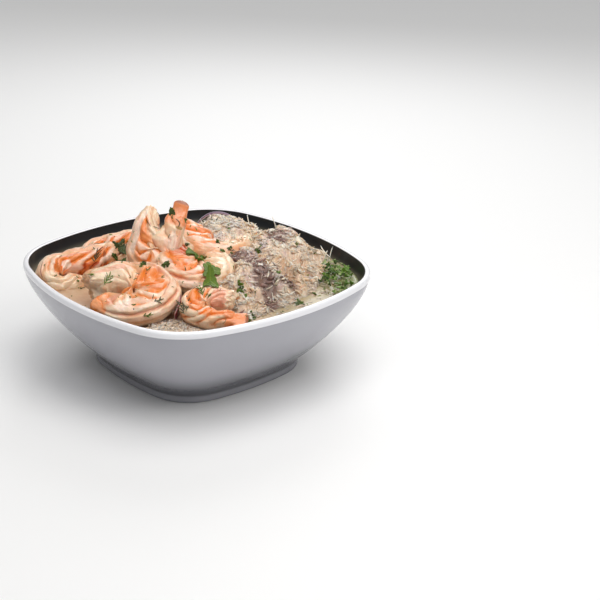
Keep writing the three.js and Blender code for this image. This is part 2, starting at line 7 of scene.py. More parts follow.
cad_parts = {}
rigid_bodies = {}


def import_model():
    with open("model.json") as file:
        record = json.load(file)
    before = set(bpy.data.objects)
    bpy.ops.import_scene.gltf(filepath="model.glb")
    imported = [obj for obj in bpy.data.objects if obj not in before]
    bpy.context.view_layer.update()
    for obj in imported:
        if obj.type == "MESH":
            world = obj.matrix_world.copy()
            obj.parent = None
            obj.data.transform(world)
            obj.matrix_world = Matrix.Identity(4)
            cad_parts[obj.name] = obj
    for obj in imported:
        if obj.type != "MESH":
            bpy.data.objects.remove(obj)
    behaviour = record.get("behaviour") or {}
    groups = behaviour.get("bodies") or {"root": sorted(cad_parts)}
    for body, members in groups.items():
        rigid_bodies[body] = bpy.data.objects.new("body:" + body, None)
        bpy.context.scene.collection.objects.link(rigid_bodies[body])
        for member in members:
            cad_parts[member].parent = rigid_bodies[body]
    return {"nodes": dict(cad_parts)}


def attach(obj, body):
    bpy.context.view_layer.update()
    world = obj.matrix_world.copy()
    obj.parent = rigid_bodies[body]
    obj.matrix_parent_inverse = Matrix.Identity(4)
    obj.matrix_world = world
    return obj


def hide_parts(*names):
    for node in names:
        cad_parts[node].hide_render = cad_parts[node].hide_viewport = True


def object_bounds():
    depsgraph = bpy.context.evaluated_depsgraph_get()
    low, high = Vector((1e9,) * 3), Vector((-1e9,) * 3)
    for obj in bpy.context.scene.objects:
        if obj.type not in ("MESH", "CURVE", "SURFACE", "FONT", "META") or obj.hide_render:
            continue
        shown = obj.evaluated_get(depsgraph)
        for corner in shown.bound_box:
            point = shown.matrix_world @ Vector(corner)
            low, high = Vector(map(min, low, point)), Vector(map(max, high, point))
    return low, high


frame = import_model()
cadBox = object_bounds()

mm = 0.001
turnOfFood = np.radians(47.5)  # the food faces the bowl's front corner, which lies this far from +Y


def smoothStep(value, low, high):
    # 0 at low, 1 at high, level at both: three times the square of the share less twice its cube
    share = np.clip((value - low) / (high - low), 0, 1)
    return share * share * (3 - 2 * share)


def window(value, low, lowFull, highFull, high):
    # 1 between the middle two values, and 0 outside the others
    return smoothStep(value, low, lowFull) * smoothStep(value, high, highFull)


def bump(value, centre, spread):
    # a bell of height 1: e to the power of minus the squared distance from centre, measured in spreads
    return np.exp(-((value - centre) / spread) ** 2)


def blend(first, second, share):
    # first, plus the share of the way from it to second
    return first + (second - first) * share


def paint(first, second, share):
    # colours mixed by an array of shares
    return first + (second - first) * np.asarray(share)[..., None]


def colour(red, green, blue):
    # an 8-bit display colour as linear light
    value = np.array([red, green, blue]) / 255
    return np.where(value < 0.0405, value / 12.92, ((value + 0.055) / 1.055) ** 2.4)


def vectors(*parts):
    # arrays of coordinates, or single numbers, as an array of points
    return np.stack(np.broadcast_arrays(*parts), -1)


def turns(count):
    # angles of evenly spaced columns round the circle
    return np.arange(count) / count * 2 * np.pi


def cosSin(degrees):
    # the cosine and the sine of an angle in degrees
    return np.cos(np.radians(degrees)), np.sin(np.radians(degrees))


latticeValues = np.random.default_rng(3).random(4096)


def noise(points, pitch, seed=0):
    # value noise from 0 to 1: random values on a cubic lattice, blended smoothly between its corners
    place = points / pitch + 19.19 * seed
    cell = np.floor(place).astype(np.int64)
    part = smoothStep(place - cell, 0, 1)
    total = np.zeros(points.shape[:-1])
    for corner in np.ndindex(2, 2, 2):
        x, y, z = np.moveaxis(cell + corner, -1, 0)
        weight = np.prod(np.where(corner, part, 1 - part), axis=-1)
        total += weight * latticeValues[(x * 73856093 ^ y * 19349663 ^ z * 83492791) & 4095]
    return total


def layeredNoise(points, pitch, seed=0):
    # three sizes of noise, each half as strong as the one before
    return (4 * noise(points, pitch, seed) + 2 * noise(points, pitch / 2.1, seed + 1)
            + noise(points, pitch / 4.3, seed + 2)) / 7


def turnAboutZ(points, angle):
    # x and y turned by an angle in radians, through its cosine and sine
    x, y, z = np.moveaxis(points, -1, 0)
    return vectors(x * np.cos(angle) - y * np.sin(angle), x * np.sin(angle) + y * np.cos(angle), z)


def placed(points, at, tilt, yaw):
    # tilted about X, turned by yaw about Z, then moved to at
    x, y, z = np.moveaxis(points, -1, 0)
    c, s = cosSin(tilt)
    return turnAboutZ(vectors(x, y * c - z * s, y * s + z * c), np.radians(yaw)) + at


def tubeTriangles(rows, columns):
    # rows of columns points, each row closed on itself, with a pole point after them for each end
    row, column = np.indices((rows - 1, columns))
    a, b = row * columns + column, row * columns + (column + 1) % columns
    c, d = a + columns, b + columns
    column = np.arange(columns)
    following = (column + 1) % columns
    firstPole, lastPole = np.full(columns, rows * columns), np.full(columns, rows * columns + 1)
    last = (rows - 1) * columns
    ends = [(firstPole, following, column), (lastPole, last + column, last + following)]
    parts = [(a, b, d), (a, d, c), *ends]
    return np.concatenate([np.stack([corner.ravel() for corner in part], -1) for part in parts])


def withPoles(grid):
    # a grid of rows and columns as a list of points: all but the end rows, then a pole for each end row
    inner = grid[1:-1].reshape(-1, grid.shape[-1])
    return np.concatenate([inner, grid[:1].mean(1), grid[-1:].mean(1)])


def outward(points, triangles):
    # turned over where the volume, summed over the triangles, is negative
    a, b, c = (points[triangles[:, corner]] for corner in range(3))
    return triangles if np.einsum("ij,ij->", a, np.cross(b, c)) > 0 else triangles[:, ::-1]


def stand(name, data):
    # a new object in the scene
    made = bpy.data.objects.new(name, data)
    bpy.context.scene.collection.objects.link(made)
    return made


def addPiece(name, points, triangles, tint, materials, node, finish=None, inFood=True):
    # a mesh of millimetre points in the food's own frame, with a colour for every point
    if inFood:
        points = turnAboutZ(points, turnOfFood)
    triangles = outward(points, triangles)
    mesh = bpy.data.meshes.new(name)
    mesh.vertices.add(len(points))
    mesh.vertices.foreach_set("co", (points * mm).astype(np.float32).ravel())
    mesh.loops.add(triangles.size)
    mesh.loops.foreach_set("vertex_index", triangles.astype(np.int32).ravel())
    mesh.polygons.add(len(triangles))
    mesh.polygons.foreach_set("loop_start", np.arange(0, triangles.size, 3, dtype=np.int32))
    mesh.polygons.foreach_set("use_smooth", np.ones(len(triangles), bool))
    for material in materials:
        mesh.materials.append(material)
    if finish is not None:
        mesh.polygons.foreach_set("material_index", finish.astype(np.int32))
    rgba = np.concatenate([tint, np.ones((len(tint), 1))], -1)
    layer = mesh.color_attributes.new("tint", "FLOAT_COLOR", "POINT")
    layer.data.foreach_set("color", rgba.astype(np.float32).ravel())
    mesh.update(calc_edges=True)
    piece = stand(name, mesh)
    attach(piece, "root")
    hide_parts(node)
    print(f"{name}: {len(triangles)} triangles")


def makeMaterial(name, sockets, mottle, bumps):
    # the tint of the mesh, lightened and darkened by noise, over layers of fine bump
    material = bpy.data.materials.new(name)
    material.use_nodes = True
    nodes, links = material.node_tree.nodes, material.node_tree.links
    shader = nodes["Principled BSDF"]
    where = nodes.new("ShaderNodeTexCoord").outputs["Object"]

    def fill(node, values):
        for label, value in values.items():
            node.inputs[label].default_value = value

    def spots(scale, detail):
        texture = nodes.new("ShaderNodeTexNoise")
        fill(texture, {"Scale": scale, "Detail": detail})
        links.new(where, texture.inputs["Vector"])
        return texture.outputs["Fac"]

    fill(shader, sockets)
    scale, low, high = mottle
    shade = nodes.new("ShaderNodeMapRange")
    fill(shade, {"From Min": 0.3, "From Max": 0.7, "To Min": low, "To Max": high})
    links.new(spots(scale, 3), shade.inputs["Value"])
    tint = nodes.new("ShaderNodeAttribute")
    tint.attribute_name = "tint"
    product = nodes.new("ShaderNodeMix")
    product.data_type, product.blend_type = "RGBA", "MULTIPLY"
    product.inputs[0].default_value = 1
    links.new(tint.outputs["Color"], product.inputs[6])
    links.new(shade.outputs["Result"], product.inputs[7])
    links.new(product.outputs[2], shader.inputs["Base Color"])
    surface = shader
    for scale, distance in reversed(bumps):
        relief = nodes.new("ShaderNodeBump")
        fill(relief, {"Distance": distance, "Strength": 1})
        links.new(spots(scale, 4), relief.inputs["Height"])
        links.new(relief.outputs["Normal"], surface.inputs["Normal"])
        surface = relief
    return material


def sheen(roughness, coat, coatRoughness, weight=None, radius=None, scale=None):
    # the surface, then the light that scatters under it
    sockets = {"Roughness": roughness, "Coat Weight": coat, "Coat Roughness": coatRoughness}
    if weight:
        sockets |= {"Subsurface Weight": weight, "Subsurface Radius": radius, "Subsurface Scale": scale}
    return sockets


# mottle: scale, darkest and lightest; bumps: scale and height in metres
melamineWhite = makeMaterial("melamine_white", sheen(0.26, 0.4, 0.14), (60, 0.985, 1.0), [(35, 0.00012)])
melamineCharcoal = makeMaterial("melamine_charcoal", sheen(0.34, 0.2, 0.15) | {"Specular IOR Level": 0.3},
                                (90, 0.9, 1.05), [(60, 0.0001)])
brothFinish = makeMaterial("citrus_broth", sheen(0.3, 0.4, 0.1, 0.35, (1.0, 0.7, 0.4), 0.003),
                           (110, 0.93, 1.04), [(160, 0.0004)])
shrimpFinish = makeMaterial("cooked_shrimp", sheen(0.34, 0.7, 0.09, 0.3, (1.0, 0.5, 0.3), 0.002),
                            (420, 0.9, 1.06), [(700, 0.0003), (1800, 0.00008)])
seafoodFinish = makeMaterial("flaked_seafood", sheen(0.55, 0.2, 0.2, 0.7, (1.0, 0.75, 0.55), 0.0022),
                             (520, 0.86, 1.08), [(900, 0.0002)])
herbFinish = makeMaterial("fresh_herb", sheen(0.5, 0.12, 0.2, 0.1, (0.4, 1.0, 0.2), 0.0006),
                          (700, 0.8, 1.12), [(1200, 0.00012)])
onionFinish = makeMaterial("red_onion", sheen(0.3, 0.6, 0.08, 0.25, (1.0, 0.5, 0.7), 0.0012),
                           (600, 0.88, 1.06), [(1100, 0.0001)])
print("materials made")


bowl = {
    "height": 56, "rim": 82.5, "rimSide": 168.7, "rimCorner": 38.8, "rimThickness": 2.9,
    "rimRounding": 0.9, "bandHeight": 3.6, "bandProud": 0.5, "bandRoundings": (0.25, 0.35, 1.7),
    "foot": 48.5, "footSide": 168, "footCorner": 26, "footHeight": 4.6, "footRing": 3.4,
    "footRecess": 1.8, "footRoundings": (0.4, 0.4, 2.2),
    "neck": 47.3, "innerNeck": 43.6, "floor": 7, "floorRounding": 1.6,
    "swell": 1.45, "columns": 320, "crowding": 0.125, "wallRows": 44, "blendRow": 6,
    # low: painted shade, the darkest grey of the white outside, at the foot's neck, where the concave neck
    # lies in shade and where a dark tray under the bowl is reflected
    "low": colour(86, 86, 91), "inside": colour(22, 25, 31), "milk": colour(172, 166, 140),
    "milkReach": 1.6,
    # over the low tone, more painted light and shade on the white outside: tone, height where it begins and
    # height where it is full; the wall is painted lighter grey upwards, the foot's bottom is painted
    # lighter where it faces up, and the band near white where it faces the light
    "tones": [(colour(168, 168, 176), 3, 26), (colour(146, 146, 153), 5, 3.4),
              (colour(238, 238, 242), 52.6, 53.2)],
}


def outlineRadius(angle, halfWidth, side, corner):
    # distance from the axis to a square outline: each side is an arc of radius side and each corner an arc
    # of radius corner that touches both sides; k and c are the places of the two arcs' centres
    k = halfWidth - side
    c = (k + np.sqrt(k * k - 2 * (k * k - (side - corner) ** 2))) / 2
    folded = np.abs(angle - np.round(angle / (np.pi / 2)) * (np.pi / 2))
    onSide = k * np.cos(folded) + np.sqrt(side ** 2 - (k * np.sin(folded)) ** 2)
    turned = np.arctan2(onSide * np.sin(folded), onSide * np.cos(folded) - k)
    across = c * (np.cos(folded) - np.sin(folded))
    onCorner = c * (np.cos(folded) + np.sin(folded)) + np.sqrt(np.maximum(corner ** 2 - across ** 2, 0))
    return np.where(turned <= np.arctan2(c, c - k), onSide, onCorner)


def bowlRadius(angle, halfWidth):
    # the outline changes evenly from the foot's to the rim's, and below the foot's size it only shrinks
    b = bowl
    share = np.clip((halfWidth - b["foot"]) / (b["rim"] - b["foot"]), 0, 1)
    side, corner = blend(b["footSide"], b["rimSide"], share), blend(b["footCorner"], b["rimCorner"], share)
    outline = outlineRadius(angle, np.maximum(halfWidth, b["foot"]), side, corner)
    return outline * np.minimum(halfWidth / b["foot"], 1)


def wallHalfWidth(share, neck, rim):
    # from neck to rim: what is left of the height, to the power swell, is what is left of the width
    return neck + (rim - neck) * (1 - (1 - share) ** bowl["swell"])


def innerHalfWidth(z):
    # the inner wall's half width at the height z
    low = bowl["floor"] + bowl["floorRounding"]
    share = np.clip((z - low) / (bowl["height"] - bowl["rimRounding"] - low), 0, 1)
    return wallHalfWidth(share, bowl["innerNeck"], bowl["rim"] - bowl["rimThickness"])


def bezier(start, middle, end, steps):
    # the square of what is left weighs start, that of what is done weighs end, twice their product middle
    t = np.linspace(0, 1, steps)[:, None]
    return (1 - t) ** 2 * start + 2 * t * (1 - t) * np.array(middle) + t ** 2 * end


def rounded(before, corner, after, radius, steps=6):
    # a corner as a curve that leaves both sides at the distance radius from it
    before, corner, after = (np.array(point, float) for point in (before, corner, after))
    start = corner + unit(before - corner) * radius
    return bezier(start, corner, corner + unit(after - corner) * radius, steps)


def bowlProfile():
    # half widths and heights of the outside, from the foot's middle to over the rim, and of the inside:
    # two swelling walls, joined to the foot, the band and the floor by rounded corners
    b = bowl
    footSide, recess, top, side = b["foot"], b["footRecess"], b["height"], b["rim"]
    ring, bandLow = footSide - b["footRing"], top - b["bandHeight"]
    inner, low = side - b["rimThickness"], b["floor"] + b["floorRounding"]
    share = np.linspace(0, 1, b["wallRows"])
    outer = vectors(wallHalfWidth(share, b["neck"], side - b["bandProud"]),
                    blend(b["footHeight"], bandLow, share))
    lining = vectors(wallHalfWidth(share, b["innerNeck"], inner),
                     blend(low, top - b["rimRounding"], share))[::-1]
    below = [(0, recess), (ring - 1, recess), (ring, 0), (footSide, 0), (footSide - 0.3, 3)]
    foot = [rounded(*below[i:i + 3], radius) for i, radius in enumerate(b["footRoundings"])]
    hollow = (footSide - 1.6, b["footHeight"] + 0.3)
    foot.append(bezier(foot[-1][-1], hollow, outer[b["blendRow"]], 18)[1:-1])
    ledge = (side, bandLow + b["bandProud"])
    under, lowEdge, topEdge = b["bandRoundings"]
    band = [rounded(outer[-2], outer[-1], ledge, under, 4),
            rounded(outer[-1], ledge, (side, top), lowEdge, 5),
            rounded((side, bandLow), (side, top), (inner, top), topEdge, 10),
            rounded((side, top), (inner, top), (inner, 0), b["rimRounding"], 8)]
    floor = rounded(lining[-2], (b["innerNeck"] - 0.6, b["floor"]), (0, b["floor"]), 3, 8)
    outside = np.concatenate([[(0, recess)], *foot, outer[b["blendRow"]:-1], *band])
    return outside, np.concatenate([lining[1:], floor, [(20, b["floor"]), (0, b["floor"])]])


def buildBowl():
    # each point of the profile is drawn round the bowl's outline; the angles are shifted by a sine of four
    # times the angle, so that the columns crowd to the corners
    outside, inside = bowlProfile()
    profile, columns = np.concatenate([outside, inside]), bowl["columns"]
    angle = (turns(columns) + bowl["crowding"] * np.sin(4 * turns(columns)))[None, :]
    radius = bowlRadius(angle, profile[:, :1])
    points = withPoles(vectors(radius * np.cos(angle), radius * np.sin(angle), profile[:, 1:2]))
    triangles = tubeTriangles(len(profile) - 2, columns)
    lining = len(outside) - 3  # rows up to the inner wall, counted without the first pole
    row = withPoles(np.repeat(np.arange(len(profile), dtype=float)[:, None, None], columns, 1))[:, 0]
    haze = bump(points[:, 2], brothShape["level"], bowl["milkReach"])
    haze = haze * (0.35 + 0.65 * layeredNoise(points, 9, 2))
    # painted shade and light: the white outside is painted grey, darkest at the foot's neck, lighter up the
    # wall and at the foot's bottom, and near white at the band
    tint = bowl["low"]
    for tone, low, high in bowl["tones"]:
        tint = paint(tint, tone, smoothStep(points[:, 2], low, high))
    tint = np.where((row >= lining)[:, None], paint(bowl["inside"], bowl["milk"], 0.5 * haze), tint)
    addPiece("bowl_shell", points, triangles, tint, [melamineWhite, melamineCharcoal], "bowl",
             row[triangles].min(1) >= lining, inFood=False)


brothShape = {
    "level": 48, "clear": 0.45, "meniscus": 0.7, "meniscusReach": 1.3, "ripple": 0.25, "ripplePitch": 9,
    "rows": 90, "columns": 320, "swirl": 24, "swirlPitch": 22,
    "left": colour(205, 172, 140), "green": colour(128, 136, 88),
    # over the left tone: tone, place across the food where it begins and place where it is full
    "tones": [(colour(208, 178, 152), -60, -10), (colour(172, 156, 122), 20, 60)],
    "greenRight": (62, 84), "greenFront": (-34, -6), "greenBack": (40, 60),
}


def bowlFill(height, bottom, clear, rows, columns):
    # a body that fills the bowl from bottom up to height, a function of x and y, and stays clear of the
    # wall: rings at the power 0.9 of even shares of the way to the wall, then the wall downwards
    angle = turns(columns)
    share = np.linspace(0, 1, rows)[:, None] ** 0.9
    edge = bowlRadius(angle, innerHalfWidth(brothShape["level"]) - clear)[None, :]
    x, y = share * edge * np.cos(angle), share * edge * np.sin(angle)
    z = np.linspace(brothShape["level"] - 2, bottom, 8)[:, None]
    low = bowlRadius(angle[None, :], innerHalfWidth(z) - clear)
    side = vectors(low * np.cos(angle), low * np.sin(angle), z)
    grid = np.concatenate([vectors(x, y, height(x, y, edge * (1 - share))), side,
                           side[-1:] * (0.5, 0.5, 1), side[-1:] * (0, 0, 1)])
    return withPoles(grid), tubeTriangles(len(grid) - 2, columns)


def buildBroth():
    # level, with ripples of noise and a meniscus that falls off exponentially from the wall
    b = brothShape

    def height(x, y, fromWall):
        wave = b["ripple"] * (layeredNoise(vectors(x, y, 0), b["ripplePitch"], 4) - 0.5)
        return b["level"] + wave + b["meniscus"] * np.exp(-(fromWall / b["meniscusReach"]))

    points, triangles = bowlFill(height, bowl["floor"] + b["clear"], b["clear"], b["rows"], b["columns"])
    food = turnAboutZ(points, -turnOfFood)
    swirl = b["swirl"] * (layeredNoise(points, b["swirlPitch"], 8) - 0.5)
    across, deep, tint = food[:, 0] + swirl, food[:, 1] + swirl, b["left"]
    for tone, low, high in b["tones"]:
        tint = paint(tint, tone, smoothStep(across, low, high))
    green = smoothStep(across, *b["greenRight"]) * smoothStep(deep, *b["greenFront"])
    tint = paint(tint, b["green"], np.maximum(0.85 * green, 0.7 * smoothStep(deep, *b["greenBack"])))
    addPiece("broth_pool", points, triangles, tint, [brothFinish], "broth", inFood=False)


shrimpForm = {
    "segments": 6, "taperPower": 1.5, "shellFlatness": 0.62, "segmentSwell": 0.04, "bellySwell": 0.07,
    "bellyPower": 0.62, "below": 0.15, "lineSteps": 384, "rows": 300, "columns": 144, "fray": 7,
    "groove": 1.0, "grooveSpread": 0.12, "lip": 0.8, "lipTo": 0.62, "shelf": 0.9, "shelfEnd": 1.4,
    "lobes": 9, "lobe": 1.5, "lobeLean": 1.3, "lobeWander": 1.8, "lump": 1.5, "lumpPitch": 7,
    "grain": 0.35, "grainPitch": 1.1, "grainStretch": 2.6, "wanderPitch": 9, "tearPitch": 3.2,
    "cloudPitch": 6, "finePitch": 1.3, "fineStretch": 2.2, "marblePitch": 4.5,
    "slant": 0.2, "blunt": 0.08, "cut": 5, "thin": 0.56, "closing": 0.05, "flare": 0, "shell": False,
}
# deep is a dark orange: the shrimp's own colour in some spots and painted shade in others, where the curled
# arms shade each other
shrimpTones = {
    "flesh": colour(238, 184, 140), "cream": colour(244, 216, 184), "pale": colour(250, 222, 202),
    "pink": colour(234, 164, 134), "orange": colour(240, 128, 26), "deep": colour(196, 66, 2),
    "rose": colour(226, 128, 98), "brown": colour(112, 48, 24), "wine": colour(112, 24, 30),
    "olive": colour(150, 118, 30),
}
# lips and orange: the shares of the length where they begin and end, and for the lips their strength
# spots: tone, share of the length, degrees round from the back, half length, half width in degrees and
# strength
shrimps = {
    "front": {
        "at": (-31, -52, 57.5), "tilt": 12, "yaw": -8, "start": 32, "turn": -238, "bend": (0.15, 0.9),
        "length": 92, "depth": 9.4, "width": 9, "rise": -1.7, "roll": 32, "slant": 0.3, "blunt": 0.1,
        "fill": 1.42, "fillTo": 1.1, "ribs": 0.12, "lips": (0.12, 0.86, 0.8), "orange": (0.3, 0.74),
        "spots": [
            # the first cream spot is the head arm's own cream with painted light over it, brightening the
            # arm where it lies in shade
            ("cream", 0.12, 120, 0.14, 60, 0.9), ("pink", 0.14, 95, 0.12, 9, 0.7),
            ("orange", 0.34, 132, 0.07, 40, 0.9), ("orange", 0.53, 112, 0.06, 30, 0.8),
            ("pale", 0.42, 140, 0.03, 26, 0.8), ("pale", 0.79, 78, 0.05, 28, 0.95),
            ("orange", 0.93, 50, 0.06, 90, 1.0), ("deep", 0.87, 95, 0.02, 40, 0.6),
            ("pink", 0.885, 108, 0.03, 16, 0.9)]},
    "left": {
        "at": (-59, -10, 53), "tilt": 40, "yaw": 29, "start": 182, "turn": 177, "bend": (0.47, 0.77),
        "length": 68, "depth": 7.4, "width": 7.4, "rise": -1.3, "roll": 10,
        "fill": 0.3, "fillTo": 0.8, "ribs": 0.3, "lips": (0.1, 0.6, 0.5), "orange": (0.02, 0.56),
        "spots": [
            # the deep spot is painted shade on the belly side, low in the curl
            ("deep", 0.27, 148, 0.13, 20, 0.95), ("orange", 0.3, 112, 0.2, 22, 0.8),
            ("pale", 0.43, 118, 0.035, 26, 0.85), ("pink", 0.3, 74, 0.24, 9, 0.75),
            ("brown", 0.115, 122, 0.016, 50, 0.55), ("cream", 0.76, 85, 0.16, 60, 0.9),
            ("wine", 0.6, 44, 0.05, 2.5, 0.9)]},
    "standing": {
        "at": (-17, -12, 78), "tilt": 62, "yaw": -7, "start": -100, "turn": 177, "bend": (0.29, 0.6),
        "length": 70, "depth": 8.6, "width": 7.6, "rise": 2, "roll": 20, "slant": 0.6, "blunt": 0.3,
        "cut": 1.7, "thin": 0.5, "closing": 0.04, "flare": -0.08, "shell": True,
        "fill": 1.15, "fillTo": 0.82, "ribs": 0.15, "lips": (0.05, 0.75, 0.5), "orange": (0.08, 0.62),
        "spots": [
            ("cream", 0.09, 135, 0.12, 45, 1.0), ("pale", 0.2, 62, 0.18, 12, 0.8),
            ("orange", 0.19, 82, 0.11, 9, 0.95), ("orange", 0.33, 112, 0.06, 26, 0.8),
            ("pale", 0.4, 96, 0.03, 18, 0.7), ("deep", 0.62, 128, 0.04, 20, 0.6),
            ("pale", 0.69, 72, 0.07, 26, 0.8), ("pink", 0.7, 40, 0.09, 7, 0.8),
            ("olive", 0.795, 52, 0.012, 20, 0.8)]},
    "right": {
        "at": (16.5, -62.5, 56.2), "tilt": 20, "yaw": -1, "start": 167, "turn": 190, "bend": (0.16, 0.66),
        "length": 59, "depth": 6, "width": 6, "rise": 2, "roll": 10,
        "closing": 0.04, "flare": 0.45, "shell": True,
        "fill": 0.8, "fillTo": 0.75, "ribs": 0.9, "lips": (0.1, 0.3, 0.2), "orange": (0.2, 0.8),
        "spots": [
            ("pink", 0.1, 130, 0.07, 60, 0.8), ("cream", 0.52, 48, 0.14, 20, 0.9),
            ("orange", 0.4, 96, 0.1, 30, 0.7), ("orange", 0.66, 88, 0.07, 24, 0.7)]},
    "middle": {
        "at": (1, -19, 62.5), "tilt": 8, "yaw": 21, "start": -131, "turn": 235, "bend": (0.12, 0.94),
        "length": 81, "depth": 8.6, "width": 8, "rise": -1, "roll": 28,
        "fill": 1.1, "fillTo": 1.1, "ribs": 0.6, "lips": (0.22, 0.5, 0.7), "orange": (0.1, 0.62),
        "spots": [
            # the two deep spots are painted shade, where this shrimp lies between the standing shrimp's arm
            # and the back shrimp
            ("deep", 0.2, 122, 0.1, 34, 0.9), ("deep", 0.13, 96, 0.06, 40, 0.8),
            ("orange", 0.3, 100, 0.06, 26, 0.8), ("pale", 0.39, 132, 0.04, 30, 0.9),
            ("pale", 0.33, 68, 0.05, 16, 0.8), ("pink", 0.46, 66, 0.1, 6, 0.8),
            ("pale", 0.5, 14, 0.14, 14, 0.8), ("cream", 0.78, 90, 0.14, 70, 0.8)]},
    "back": {
        "at": (10, 16, 62.5), "tilt": 6, "yaw": 4, "start": -104, "turn": 190, "bend": (0.03, 0.9),
        "length": 68, "depth": 7.8, "width": 7.4, "rise": -2, "roll": 20, "thin": 0.3, "closing": 0.16,
        "fill": 0.7, "fillTo": 1.0, "ribs": 0.06, "lips": (0.0, 0.1, 0.0), "orange": (0.05, 0.5),
        "spots": [
            ("orange", 0.44, 40, 0.3, 26, 0.4), ("brown", 0.136, 111, 0.012, 14, 0.6),
            ("orange", 0.3, 100, 0.2, 26, 0.85), ("pale", 0.5, 66, 0.12, 12, 0.5)]},
    "behind": {
        "at": (-43.5, 16.5, 54), "tilt": 26, "yaw": 22, "start": 184, "turn": 191, "bend": (0.41, 0.72),
        "length": 62, "depth": 7.2, "width": 7.2, "rise": -2.4, "roll": 10,
        "fill": 0.3, "fillTo": 0.8, "ribs": 0.1, "lips": (0.1, 0.6, 0.5), "orange": (0.02, 0.5),
        "spots": [
            ("orange", 0.3, 98, 0.16, 14, 0.75), ("cream", 0.3, 150, 0.2, 26, 0.9),
            ("pink", 0.3, 80, 0.2, 9, 0.7)]},
}
shrimps = {name: shrimpForm | own for name, own in shrimps.items()}
# bands along the cut: tone, distance from the cut in radians, spread, strength
cutBands = [("pink", 0.63, 0.07, 0.65), ("pale", 0.38, 0.16, 0.6), ("rose", 0, 0.1, 0.75)]


def centreLine(s):
    # the curled line, summed from steps along its heading, with its middle at 0; the heading turns between
    # the shares bend of the length, six tenths of it evenly and the rest smoothly
    steps = s["lineSteps"]
    share = np.linspace(0, 1, steps + 1)
    low, high = s["bend"]
    turned = 0.4 * smoothStep(share, low, high) + 0.6 * np.clip((share - low) / (high - low), 0, 1)
    heading = np.radians(s["start"] + s["turn"] * turned)
    lines = [np.cumsum(f(heading)[:-1]) for f in (np.cos, np.sin)]
    lines = [np.concatenate([[0], line]) * s["length"] / steps for line in lines]
    x, y = (line - (line.max() + line.min()) / 2 for line in lines)
    return share, x, y, s["rise"] * (share - 0.5), heading


def roundEnd(part):
    # a quarter of a circle: 0 at 0, 1 from 1 on
    return np.sqrt(np.maximum(0, 1 - (1 - np.minimum(part, 1)) ** 2))


def shrimpFacts(s, share, around, seed):
    # where each point lies: how far from the cut, on which cross lobe, how near to the crease beside it
    # and how far in across the curl; the girth tapers with a power of the length's share to a round end
    taper = blend(1, s["thin"], share ** s["taperPower"])
    head = np.maximum(0, 1 - (1 - np.minimum(share / s["blunt"], 1)) ** s["cut"]) ** 0.5
    girth = head * taper * roundEnd((1 - share) / s["closing"])
    body = vectors(np.cos(around) * s["depth"] * girth, np.sin(around) * s["width"] * girth,
                   share * s["length"])
    wander = layeredNoise(body, s["wanderPitch"], seed) - 0.5
    inner = smoothStep(np.abs(around) + 0.5 * wander, 1.0, 1.45)
    low, high = s["orange"]
    orange = inner * window(share + 0.1 * wander, low - 0.05, low + 0.05, high - 0.03, high + 0.08)
    place = share * s["lobes"] + s["lobeLean"] * np.cos(around) + s["lobeWander"] * wander + 0.37 * seed
    lobe = np.floor(place).astype(int)
    low, high, strength = s["lips"]
    opened = window(share, low, low + 0.1, high - 0.06, high + 0.06) * strength * (1 + wander)
    low, high = s["bend"]
    curl = s["length"] * (high - low) / np.radians(abs(s["turn"]))
    inward = -np.cos(around) * s["depth"] * (1 + s["fill"]) * girth / curl
    inward = inward * window(share, low - 0.1, low + 0.1, high - 0.1, high + 0.1)
    lobed = window(share, 0.02, 0.1, 0.9, 0.98) * (1 - 0.9 * smoothStep(inward, 0.4, 0.85))
    return {
        "girth": girth, "body": body, "inward": inward, "orange": orange, "opened": opened,
        "fromCut": np.abs(around - np.radians(s["roll"]) - 0.5 * wander),
        "chance": latticeValues[(lobe * 911 + seed * 7) & 4095],
        "lobe": np.sin(np.pi * (place - lobe)) ** 0.6,
        "lobed": lobed * np.maximum(inner, s["ribs"] * smoothStep(around, -0.6, 0.2)),
    }


